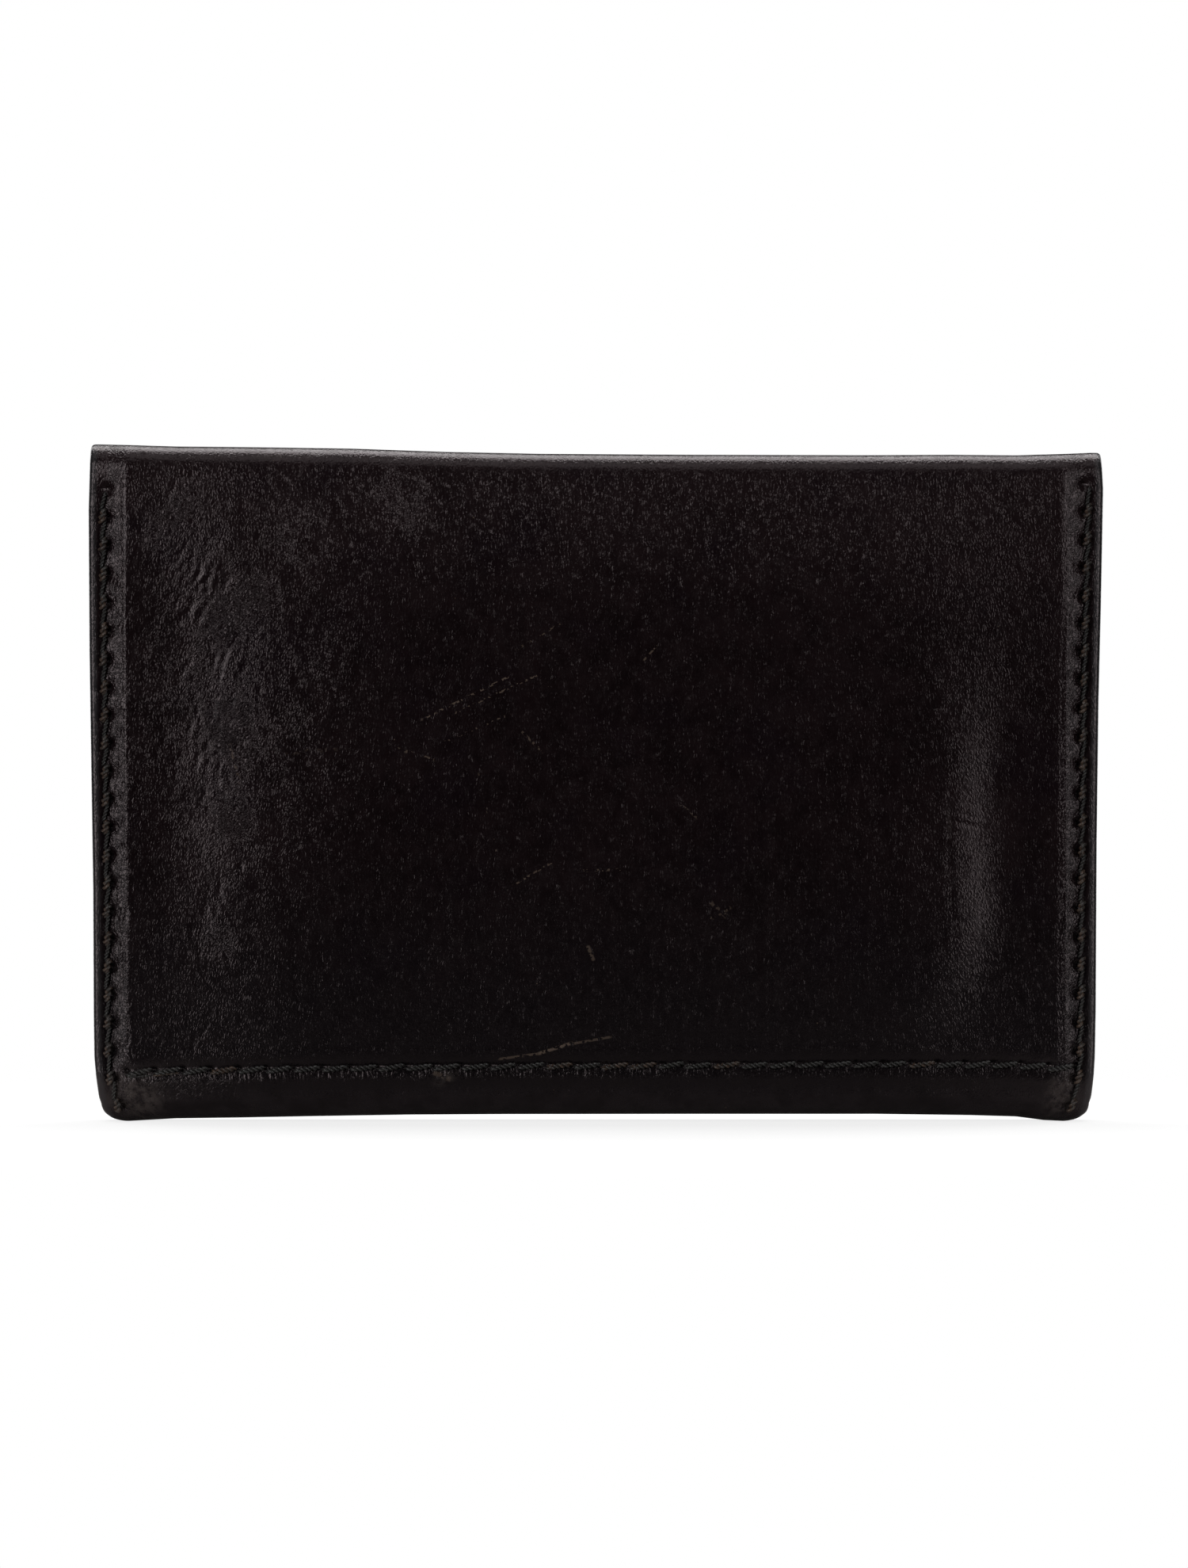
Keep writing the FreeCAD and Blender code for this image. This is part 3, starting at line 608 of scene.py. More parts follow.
BOTH_ENDS = ("first", "last")
FINE_X = across(
    (-53.3, -49.5, 0.14), (-49.5, -36, 0.32), (-36, 34, 0.5), (34, 49.5, 0.24), (49.5, 53.31, 0.14)
)
PLAIN_X = across((-53.3, -49.5, 0.2), (-49.5, 49.5, 0.6), (49.5, 53.31, 0.2))
COARSE_X = across((-53.3, 53.31, 1.0))

# The shells. The flap's pattern goes on over the fold from the back's, the front's goes on round the base.
BACK_ROWS = spaced(
    (REAR_COURSE.first, -1.3, 0.5),
    (-1.3, 2.2, 0.18),
    (2.2, 4.6, 0.3),
    (4.6, 6.9, 0.14),
    (6.9, FOLD_Z - 2, 0.3),
    (FOLD_Z - 2, FOLD_Z + FOLD_ARC, 0.22),
    (FOLD_Z + FOLD_ARC, REAR_COURSE.last, 0.5),
)
FRONT_ROWS = up_to_edge(
    MOUTH_Z, (FRONT_COURSE.first, -1.3, 0.5), (-1.3, 2.2, 0.2), (2.2, 65.6, 0.5), (65.6, 68.1, 0.18)
)
FLAP_ROWS = np.concatenate(
    [
        spaced((0.0, TOP_RUN, 0.5), (TOP_RUN, FLAP_DOWN, 0.25), (FLAP_DOWN, FLAP_END - 4, 0.5)),
        up_to_edge(FLAP_END, (FLAP_END - 3.8, FLAP_END - 0.75, 0.2)),
    ]
)
back_sheet = Sheet(REAR_COURSE, 0.0, LEATHER, NO_END)
front_sheet = Sheet(FRONT_COURSE, 0.0, LEATHER, MOUTH_Z)
flap_sheet = Sheet(FLAP_COURSE, 0.0, LEATHER, FLAP_END, corner=FLAP_CORNER)
shell_back = build("shell_back", back_sheet, FINE_X, BACK_ROWS, back_relief, flip=True, cuts=BOTH_ENDS)
shell_front = build("shell_front", front_sheet, PLAIN_X, FRONT_ROWS, front_relief, 2 * REAR_COURSE.first, -1)
shell_flap = build("shell_flap", flap_sheet, PLAIN_X, FLAP_ROWS, flap_relief, REAR_COURSE.last, flip=True)

# Linings, just under their shells and a little narrower.
LINING_OUT, LINING_IN = LEATHER + LAYER_GAP, LEATHER + LINING
LINING_INSET, LINING_SHORT = 0.12, 0.1
MOUTH_LINED, FLAP_LINED = MOUTH_Z - LINING_SHORT, FLAP_END - LINING_SHORT
lining_back = build(
    "lining_back",
    Sheet(REAR_COURSE, LINING_OUT, LINING_IN, NO_END, inset=LINING_INSET),
    COARSE_X,
    spaced((REAR_COURSE.first, 2.2, 0.5), (2.2, FOLD_Z, 1.0), (FOLD_Z, REAR_COURSE.last, 0.4)),
    flip=True,
    cuts=BOTH_ENDS,
)
lining_front = build(
    "lining_front",
    Sheet(FRONT_COURSE, LINING_OUT, LINING_IN, MOUTH_LINED, inset=LINING_INSET),
    COARSE_X,
    up_to_edge(MOUTH_LINED, (FRONT_COURSE.first, 2.2, 0.5), (2.2, 67.9, 1.0)),
)
flap_lining_sheet = Sheet(FLAP_COURSE, LINING_OUT, LINING_IN, FLAP_LINED, FLAP_CORNER, LINING_INSET)
lining_flap = build(
    "lining_flap",
    flap_lining_sheet,
    PLAIN_X,
    up_to_edge(FLAP_LINED, (0.0, 8.0, 0.4), (8.0, FLAP_END - 0.8, 0.7)),
    pattern_start=REAR_COURSE.last,
    flip=True,
)

# The slot pocket, raised in its middle and open at the top.
POCKET_FOOT = BASE_BEND
POCKET_RISE = 0.85
POCKET_PATTERN_X = 600.0


def pocket():
    """The face towards the back's lining and the face towards the cards, as one closed skin."""
    rows = up_to_edge(SLOT_Z, (2.9, 12, 0.4), (12, SLOT_Z - 0.8, 0.9))
    x, z = np.meshgrid(across((-53.3, 53.31, 0.5)), np.concatenate([POCKET_FOOT + EDGE_STEPS, rows]))
    edge = np.minimum(HALF_WIDTH - np.abs(x), np.minimum(z - POCKET_FOOT, SLOT_Z - z))
    sides = smooth(0, 1.6, 49.6 - np.abs(x))
    near = BACK_Y - LINING_IN - LAYER_GAP - POCKET_RISE * sides * smooth(0, 1.8, z - 6.6)
    drop = rounding(np.maximum(edge, 0), 0.3)
    rough = 0.04 * ripples(x, z, 4, 5, 20, 601) * sides
    behind = np.stack([x, near - drop, z], -1)
    before = np.stack([x, near - POCKET_LEATHER + 0.04 + drop + rough, z], -1)
    pattern = np.stack([x + POCKET_PATTERN_X, z, np.maximum(edge, 0)], -1)
    return closed_skin("slot_pocket", before, behind, pattern)


slot_pocket = pocket()

# The gussets: strips folded to a V that points into the pouch.
GUSSET_REAR = 4.46
GUSSET_FRONT = -0.96
FLANGE = 3.5
GUSSET_REACH = 5.5
GUSSET_PATTERN_X = 800.0
CORNER_CUTS = 4  # how often the V's corners are cut off, which rounds its bends


def gusset(name, side):
    """A V of leather on one side, with rounded bends and a flange against each wall."""
    outside, bend_x = HALF_WIDTH - 0.15, HALF_WIDTH - FLANGE + 0.2
    rear, front = GUSSET_REAR - GUSSET_LEATHER / 2, GUSSET_FRONT + GUSSET_LEATHER / 2
    point = (bend_x - GUSSET_REACH + 0.5, (rear + front) / 2)
    corners = np.array([(outside, rear), (bend_x, rear), point, (bend_x, front), (outside, front)])
    for _ in range(CORNER_CUTS):
        p, q = corners[:-1], corners[1:]
        cut = np.stack([0.75 * p + 0.25 * q, 0.25 * p + 0.75 * q], 1).reshape(-1, 2)
        corners = np.array([corners[0], *cut, corners[-1]])
    lengths = np.concatenate([[0], np.cumsum(np.hypot(*np.diff(corners, axis=0).T))])
    total = lengths[-1]
    t = np.concatenate([EDGE_STEPS, up_to_edge(total, (0.75, total - 0.75, 0.25))])
    line = np.column_stack([np.interp(t, lengths, part) for part in corners.T])
    tangent = np.gradient(line, t, axis=0)
    tangent /= np.hypot(*tangent.T)[:, None]
    high = MOUTH_Z - 0.15
    tt, zz = np.meshgrid(t, up_to_edge(high, (BASE_BEND + 0.1, high - 0.75, 0.8)))
    edge = np.maximum(np.minimum(np.minimum(tt, total - tt), high - zz), 0)
    half = GUSSET_LEATHER / 2 - 0.01 - rounding(edge, 0.28)
    loose = smooth(3, 5, tt) * (1 - smooth(total - 5, total - 3, tt))
    wave = 0.09 * ripples(tt, zz, 5, 9, 0, 701 + side) * loose
    outer, inner = (
        np.stack([side * (line[:, 0] - tangent[:, 1] * offset), line[:, 1] + tangent[:, 0] * offset, zz], -1)
        for offset in (half + wave, wave - half)
    )
    pattern = np.stack([tt + GUSSET_PATTERN_X + 50 * side, zz, edge], -1)
    return closed_skin(name, outer, inner, pattern, flip=side < 0)


gusset_left = gusset("gusset_left", -1)
gusset_right = gusset("gusset_right", 1)


# ---------------------------------------------------------------- thread

PLIES = 2
AROUND = 8


class Cords:
    """Collects twisted cords and makes them one mesh."""

    def __init__(self, name):
        self.name, self.count = "thread_" + name, 0
        self.points, self.faces, self.pattern = [], [], []
        self.random = np.random.default_rng(sum(map(ord, self.name)))

    def cord(self, sheet, start, end, thickness, lift, sink, turns, face=1, wear_and_highlight=None):
        """One stitch: it comes out of the hole at start, lies over the leather and goes down at end."""
        steps = max(14, int(11 * turns))
        t = np.linspace(0, 1, steps)
        (x0, s0), (x1, s1) = start, end
        length = math.hypot(x1 - x0, s1 - s0)
        s = s0 + (s1 - s0) * t
        height = -sink + (lift + sink) * (1 - np.abs(2 * t - 1) ** 3.2)
        depth = sheet.depth_out - height if face > 0 else sheet.depth_in + height
        spine = sheet.place(x0 + (x1 - x0) * t, s, depth)
        tangent = np.gradient(spine, axis=0)
        tangent /= np.linalg.norm(tangent, axis=1)[:, None]
        over = np.cross(tangent, np.column_stack([np.zeros(steps), sheet.course.at(s)[1]]) * face)
        over /= np.linalg.norm(over, axis=1)[:, None]
        up = np.cross(over, tangent)
        ply = thickness / 2 * 0.52
        phase = self.random.uniform(0, TURN)
        wear_and_highlight = self.random.uniform(0, 1) if wear_and_highlight is None else wear_and_highlight
        taper = 0.6 + 0.4 * np.sqrt(np.clip(1 - np.abs(2 * t - 1) ** 4, 0, 1))[:, None]
        angle = np.linspace(0, TURN, AROUND, endpoint=False)
        ring = np.cos(angle)[None, :, None] * over[:, None] + np.sin(angle)[None, :, None] * up[:, None]
        for strand in range(PLIES):
            twist = phase + TURN * (strand / PLIES - turns * t)[:, None]
            centre = spine + (thickness / 2 - ply) * taper * (np.cos(twist) * over + np.sin(twist) * up)
            pattern = np.empty(ring.shape)
            pattern[..., 0] = (t * length)[:, None] + 10 * strand
            pattern[..., 1] = (angle + twist) * ply
            pattern[..., 2] = wear_and_highlight
            self.add(centre[:, None] + ply * taper[:, None] * ring, pattern)

    def add(self, points, pattern):
        """A tube from rings of points, with both of its ends closed by a point."""
        index = self.count + np.arange(points[..., 0].size).reshape(points.shape[:2])
        after = np.roll(index, -1, axis=1)
        self.faces.append(np.stack([index[:-1], after[:-1], after[1:], index[1:]], -1).reshape(-1, 4))
        self.count += index.size + 2
        for ring, tip, way in ((index[0], self.count - 2, -1), (index[-1], self.count - 1, 1)):
            fan = [np.roll(ring, -turn)[::2] for turn in (0, 1, 2)][::way]
            self.faces.append(np.stack([*fan, np.full(len(fan[0]), tip)], -1))
        for kept, grid in ((self.points, points), (self.pattern, pattern)):
            kept += [grid.reshape(-1, 3), grid[0].mean(0)[None], grid[-1].mean(0)[None]]

    def mesh(self):
        return make_mesh(self.name, *map(np.concatenate, (self.points, self.faces, self.pattern)))


def flat_seam(cords, sheet, holes, thickness=0.72, lift=0.24, slant=0.2, face=1):
    """Thick stitches, end to end. Each starts low and climbs to the hole beside the next one."""
    for (x0, s0), (x1, s1) in zip(holes[:-1], holes[1:]):
        length = math.hypot(x1 - x0, s1 - s0)
        ux, us = (x1 - x0) / length, (s1 - s0) / length
        shake = cords.random.normal(0, 0.035, 4)
        start = (x0 + ux * 0.02 + us * slant + shake[0], s0 + us * 0.02 - ux * slant + shake[1])
        end = (x1 - ux * 0.3 - us * slant + shake[2], s1 - us * 0.3 + ux * slant + shake[3])
        wear_and_highlight = 0.3 + 0.55 * (cords.random.uniform(0, 1) > 0.9)
        cords.cord(sheet, start, end, thickness, lift, 0.3, 2.6, face, wear_and_highlight)


def rope_seam(cords, sheet, side, holes):
    """A side seam: a thick bead beside each needle hole, and slim cords that link the beads.
    Seen from behind, +X is on the left, and both kinds climb towards -X."""
    heights = [s for _, s in holes]
    for low, high in zip(heights[:-1], heights[1:]):
        shake = cords.random.normal(0, 0.04, 6)
        middle = side * (HALF_WIDTH - side_inset((low + high) / 2, SIDE_BASE[side]) - 0.02)
        bead = (middle + 0.24 + shake[0], low - 0.55), (middle - 0.24 + shake[1], low + 0.75 + shake[2])
        # The beads' high value paints them brown: worn thread and a painted highlight.
        cords.cord(sheet, *bead, 0.78, 0.3, 0.32, 1.3, wear_and_highlight=0.9)
        slim = (middle + 0.22 + shake[3], low + 0.7), (middle - 0.26 + shake[4], high - 0.35 + shake[5])
        cords.cord(sheet, *slim, 0.46, 0.12, 0.2, 2.4, wear_and_highlight=0.2)


threads = {}
for name in ("back_right", "front_right", "back_left", "front_left", "foot", "mouth", "flap"):
    cords = Cords(name)
    face, _, end = name.partition("_")
    if end:
        side = 1 if end == "right" else -1
        sheet, holes = (back_sheet, REAR_SIDE_HOLES) if face == "back" else (front_sheet, FRONT_SIDE_HOLES)
        rope_seam(cords, sheet, side, holes[side])
    elif name == "foot":
        flat_seam(cords, back_sheet, [(x, foot_level(x)) for x in pitched(*FOOT_ENDS)][::-1], slant=-0.2)
        # The seam is sewn twice at its +X end, and the second run's slim thread lies lower.
        for ends in (((50.4, 4.75), (47.9, 4.85)), ((47.8, 4.8), (45.0, 5.0))):
            cords.cord(back_sheet, *ends, 0.26, 0.16, 0.08, 3.0)
    elif name == "mouth":
        flat_seam(cords, front_sheet, MOUTH_HOLES)
    else:
        flat_seam(cords, flap_sheet, FLAP_HOLES)
        flat_seam(cords, flap_lining_sheet, FLAP_HOLES, thickness=0.45, lift=0.1, face=-1)
    threads[name] = cords.mesh()


# ---------------------------------------------------------------- materials


class Shading:
    """The nodes of one material, world or node group. Every input takes a socket or a plain value."""

    def __init__(self, tree):
        self.tree = tree

    def put(self, socket, value):
        if isinstance(value, bpy.types.NodeSocket):
            self.tree.links.new(value, socket)
        else:
            socket.default_value = (*value, 1.0) if socket.type == "RGBA" else value

    def fill(self, made, *values, **settings):
        """Sets a node's properties and its inputs, by name or in order. An underscore stands for a space."""
        for key, value in settings.items():
            name = key.replace("_", " ")
            if name in made.inputs:
                self.put(made.inputs[name], value)
            else:
                setattr(made, key, value)
        for socket, value in zip(made.inputs, values):
            self.put(socket, value)
        return made

    def node(self, kind, *values, **settings):
        return self.fill(self.tree.nodes.new("ShaderNode" + kind), *values, **settings)

    def maths(self, operation, *values, clamp=False):
        return self.node("Math", *values, operation=operation, use_clamp=clamp).outputs[0]

    def add(self, a, b, clamp=False):
        return self.maths("ADD", a, b, clamp=clamp)

    def times(self, a, b, clamp=False):
        return self.maths("MULTIPLY", a, b, clamp=clamp)

    def step(self, value, low, high, to_low=0.0, to_high=1.0):
        """A smooth step of a value."""
        values = (value, low, high, to_low, to_high)
        return self.node("MapRange", *values, interpolation_type="SMOOTHSTEP").outputs[0]

    def mix(self, factor, a, b):
        """A colour from a to b."""
        made = self.node("Mix", data_type="RGBA")
        for index, value in ((0, factor), (6, a), (7, b)):
            self.put(made.inputs[index], value)
        return made.outputs[2]

    def vector(self, operation, *values, **settings):
        made = self.node("VectorMath", *values, operation=operation, **settings)
        return made.outputs["Value" if operation in ("DOT_PRODUCT", "DISTANCE", "LENGTH") else "Vector"]

    def scaled(self, vector, scale):
        return self.vector("MULTIPLY", vector, scale)

    def turned(self, vector, angle):
        return self.node("VectorRotate", Vector=vector, rotation_type="Z_AXIS", Angle=angle).outputs[0]

    def noise(self, vector, scale, detail=2.0, rough=0.5):
        return self.node("TexNoise", Vector=vector, Scale=scale, Detail=detail, Roughness=rough).outputs[0]

    def borders(self, vector, scale):
        """The distance to the borders of scattered cells."""
        cells = self.node("TexVoronoi", feature="DISTANCE_TO_EDGE", Vector=vector, Scale=scale)
        return cells.outputs["Distance"]

    def pattern(self):
        """What make_mesh stored on the piece: two coordinates and the distance from the edge, in mm."""
        return self.node("Attribute", attribute_name="pat").outputs["Vector"]

    def bump(self, height, deep, strength=1.0):
        return self.node("Bump", Strength=strength, Distance=deep * MM, Height=height).outputs[0]


def new_material(name):
    """(material, its shading, its shader)."""
    material = bpy.data.materials.new(name)
    material.use_nodes = True
    material.node_tree.nodes.clear()
    shade = Shading(material.node_tree)
    shader = shade.node("BsdfPrincipled")
    shade.node("OutputMaterial", shader.outputs[0])
    return material, shade, shader


def new_group(name, vectors, numbers):
    """(the shading of a node group whose output is a mask, its inputs' sockets, the mask's socket)."""
    group = bpy.data.node_groups.new(name, "ShaderNodeTree")
    for kind, titles in (("NodeSocketVector", vectors), ("NodeSocketFloat", numbers)):
        for title in titles:
            group.interface.new_socket(title, in_out="INPUT", socket_type=kind)
    group.interface.new_socket("Mask", in_out="OUTPUT", socket_type="NodeSocketFloat")
    given, made = group.nodes.new("NodeGroupInput"), group.nodes.new("NodeGroupOutput")
    return Shading(group), given.outputs, made.inputs["Mask"]


def streak_group():
    """1 on a thin broken line between two points of the pattern, and 0 away from it."""
    shade, given, mask = new_group("streak", ("Pattern", "Start", "End"), ("Width", "Broken", "Dots"))
    flat = shade.scaled(given["Pattern"], (1, 1, 0))
    from_start = shade.vector("SUBTRACT", flat, given["Start"])
    whole = shade.vector("SUBTRACT", given["End"], given["Start"])
    dot = shade.vector("DOT_PRODUCT", from_start, whole)
    along = shade.maths("DIVIDE", dot, shade.vector("DOT_PRODUCT", whole, whole), clamp=True)
    away = shade.vector("DISTANCE", from_start, shade.vector("SCALE", whole, Scale=along))
    body = shade.step(shade.maths("DIVIDE", away, given["Width"]), 1.0, 0.35)
    gaps = shade.maths("GREATER_THAN", shade.noise(flat, given["Dots"], 1.0), given["Broken"])
    tips = shade.times(shade.times(along, shade.maths("SUBTRACT", 1.0, along)), 14.0, clamp=True)
    shade.put(mask, shade.times(shade.times(body, gaps), tips))
    return shade.tree


def patch_group():
    """1 in the middle of a slanted oval of the pattern, fading to 0 at its outline."""
    shade, given, mask = new_group("patch", ("Pattern", "Centre", "Squeeze"), ("Turn",))
    moved = shade.vector("SUBTRACT", given["Pattern"], given["Centre"])
    squeezed = shade.scaled(shade.turned(moved, given["Turn"]), given["Squeeze"])
    shade.put(mask, shade.step(shade.vector("LENGTH", squeezed), 1.0, 0.2))
    return shade.tree


STREAK = streak_group()
PATCH = patch_group()

# (start, end, width, how broken, dots per mm, strength) of each worn line on the back: x and height in mm.
SCRATCHES = (
    ((18.9, 42.8), (8.6, 47.9), 0.16, 0.54, 2.4, 0.8),
    ((15.6, 43.4), (5.2, 48.2), 0.15, 0.57, 2.6, 0.7),
    ((16.6, 40.4), (9.0, 43.6), 0.15, 0.57, 2.4, 0.6),
    ((22.3, 40.2), (17.0, 38.6), 0.22, 0.6, 1.6, 0.6),
    ((8.6, 50.4), (3.4, 53.6), 0.16, 0.58, 3.0, 0.6),
    ((8.0, 41.8), (5.6, 39.4), 0.18, 0.55, 2.6, 0.6),
    ((12.6, 37.6), (10.4, 27.8), 0.14, 0.62, 1.6, 0.4),
    ((33.2, 39.4), (27.4, 39.8), 0.3, 0.5, 1.2, 0.16),
    ((9.0, 25.2), (4.4, 27.9), 0.16, 0.56, 2.6, 0.6),
    ((2.6, 26.8), (-3.4, 27.0), 0.18, 0.58, 2.6, 0.6),
    ((10.6, 6.3), (6.0, 7.0), 0.2, 0.46, 2.2, 0.6),
    ((6.4, 6.9), (2.4, 8.3), 0.26, 0.44, 2.4, 0.8),
    ((2.8, 8.1), (-1.8, 9.0), 0.2, 0.42, 2.0, 0.5),
    ((-9.0, 34.0), (-11.0, 32.4), 0.18, 0.5, 2.4, 0.4),
    ((-12.2, 23.6), (-14.2, 21.8), 0.3, 0.54, 2.6, 0.35),
    ((-12.2, 21.6), (-14.6, 23.0), 0.26, 0.56, 2.6, 0.35),
    ((0.9, 18.9), (0.2, 17.2), 0.26, 0.45, 2.2, 0.5),
    ((-5.0, 49.2), (-6.6, 51.0), 0.14, 0.5, 2.6, 0.6),
    ((17.6, 4.8), (15.6, 3.9), 0.4, 0.44, 1.8, 0.45),
    ((39.2, 41.0), (38.0, 36.0), 0.2, 0.55, 2.2, 0.5),
)

# (centre, half width, half length, slant, strength): x and height in mm, and the slant in degrees from the
# vertical towards -X.
CRUMPLED_PATCHES = (
    ((44.6, 65.0), 2.6, 8.0, 36, 1.0),
    ((38.0, 54.6), 4.2, 9.0, 50, 0.95),
    ((38.6, 42.0), 5.5, 8.0, 8, 0.95),
    ((38.8, 33.0), 4.0, 5.0, 0, 1.0),
    ((40.4, 19.5), 3.0, 4.0, -20, 0.5),
    ((20.6, 66.5), 7.5, 5.5, 40, 0.55),
    ((32.0, 63.0), 6.0, 6.0, 30, 0.5),
    ((38.0, 48.0), 18.0, 34.0, 0, 0.25),
    ((44.0, 4.0), 6.0, 2.2, 0, 0.7),
)
POLISHED_PATCHES = (((-42.5, 31.0), 5.5, 20.0, 0, 1.0),)
# Scuffs, and at the +X foot corner a painted highlight where the pinched corner faces the light.
SCUFFS_AND_HIGHLIGHTS = (
    ((50.0, 2.6), 4.4, 4.0, 0, 1.0),
    ((-50.8, 2.6), 2.6, 4.0, 0, 0.8),
    ((53.3, 71.8), 0.8, 0.5, 0, 0.9),
    ((-38.0, 31.9), 2.6, 0.4, 84, 0.3),
    ((16.2, 4.2), 1.2, 2.4, 55, 0.45),
)


def patches(shade, pattern, table):
    """The strongest of a table's patches at each point."""
    total = 0.0
    for (x, z), wide, long, slant, strength in table:
        oval = shade.node("Group", node_tree=PATCH, Pattern=pattern, Turn=-math.radians(slant))
        shade.fill(oval, Centre=(x, z, 0.0), Squeeze=(1 / wide, 1 / long, 0.0))
        total = shade.maths("MAXIMUM", shade.times(oval.outputs[0], strength), total)
    return total


def worn_lines(shade, pattern, marks):
    """The scratches, added to other marks."""
    for start, end, width, broken, dots, strength in SCRATCHES:
        line = shade.node("Group", node_tree=STREAK, Pattern=pattern, Width=width, Broken=broken, Dots=dots)
        shade.fill(line, Start=(*start, 0.0), End=(*end, 0.0))
        marks = shade.maths("MAXIMUM", marks, shade.times(line.outputs[0], strength))
    return marks


def crumpled_areas(shade, pattern, height, edge):
    """Where the back is crumpled: in the patches, near the fold and beside the side seams."""
    near_fold = shade.step(height, 52.0, 69.0, 0.0, 0.14)
    band = shade.times(shade.step(edge, 4.3, 3.5, 0.0, 0.35), shade.step(edge, 1.4, 2.2))
    broken = shade.step(shade.noise(pattern, 0.3, 3.0, 0.6), 0.34, 0.64, 0.25, 1.2)
    most = shade.times(patches(shade, pattern, CRUMPLED_PATCHES), broken)
    return shade.maths("MAXIMUM", shade.maths("MAXIMUM", most, near_fold), band)


BLACK = (0.0062, 0.0026, 0.0034)
# The light end of the mottling, which the painted sheen towards the top also pushes the leather towards.
WORN_AND_SHEEN_BLACK = (0.018, 0.0098, 0.0112)
PURPLE_BLACK = (0.00682, 0.00286, 0.00544)
COOL_BLACK = (0.0065, 0.0054, 0.0064)
# Painted reflection of the floor along the base.
BASE_FLOOR_REFLECTION = (0.019, 0.015, 0.017)
DUST = (0.16, 0.115, 0.085)
# The colour of the scuffs and of the painted corner highlight.
SCUFF_AND_HIGHLIGHT = (0.075, 0.062, 0.058)
EDGE_PAINT_AND_GLARE = (0.036, 0.034, 0.036)


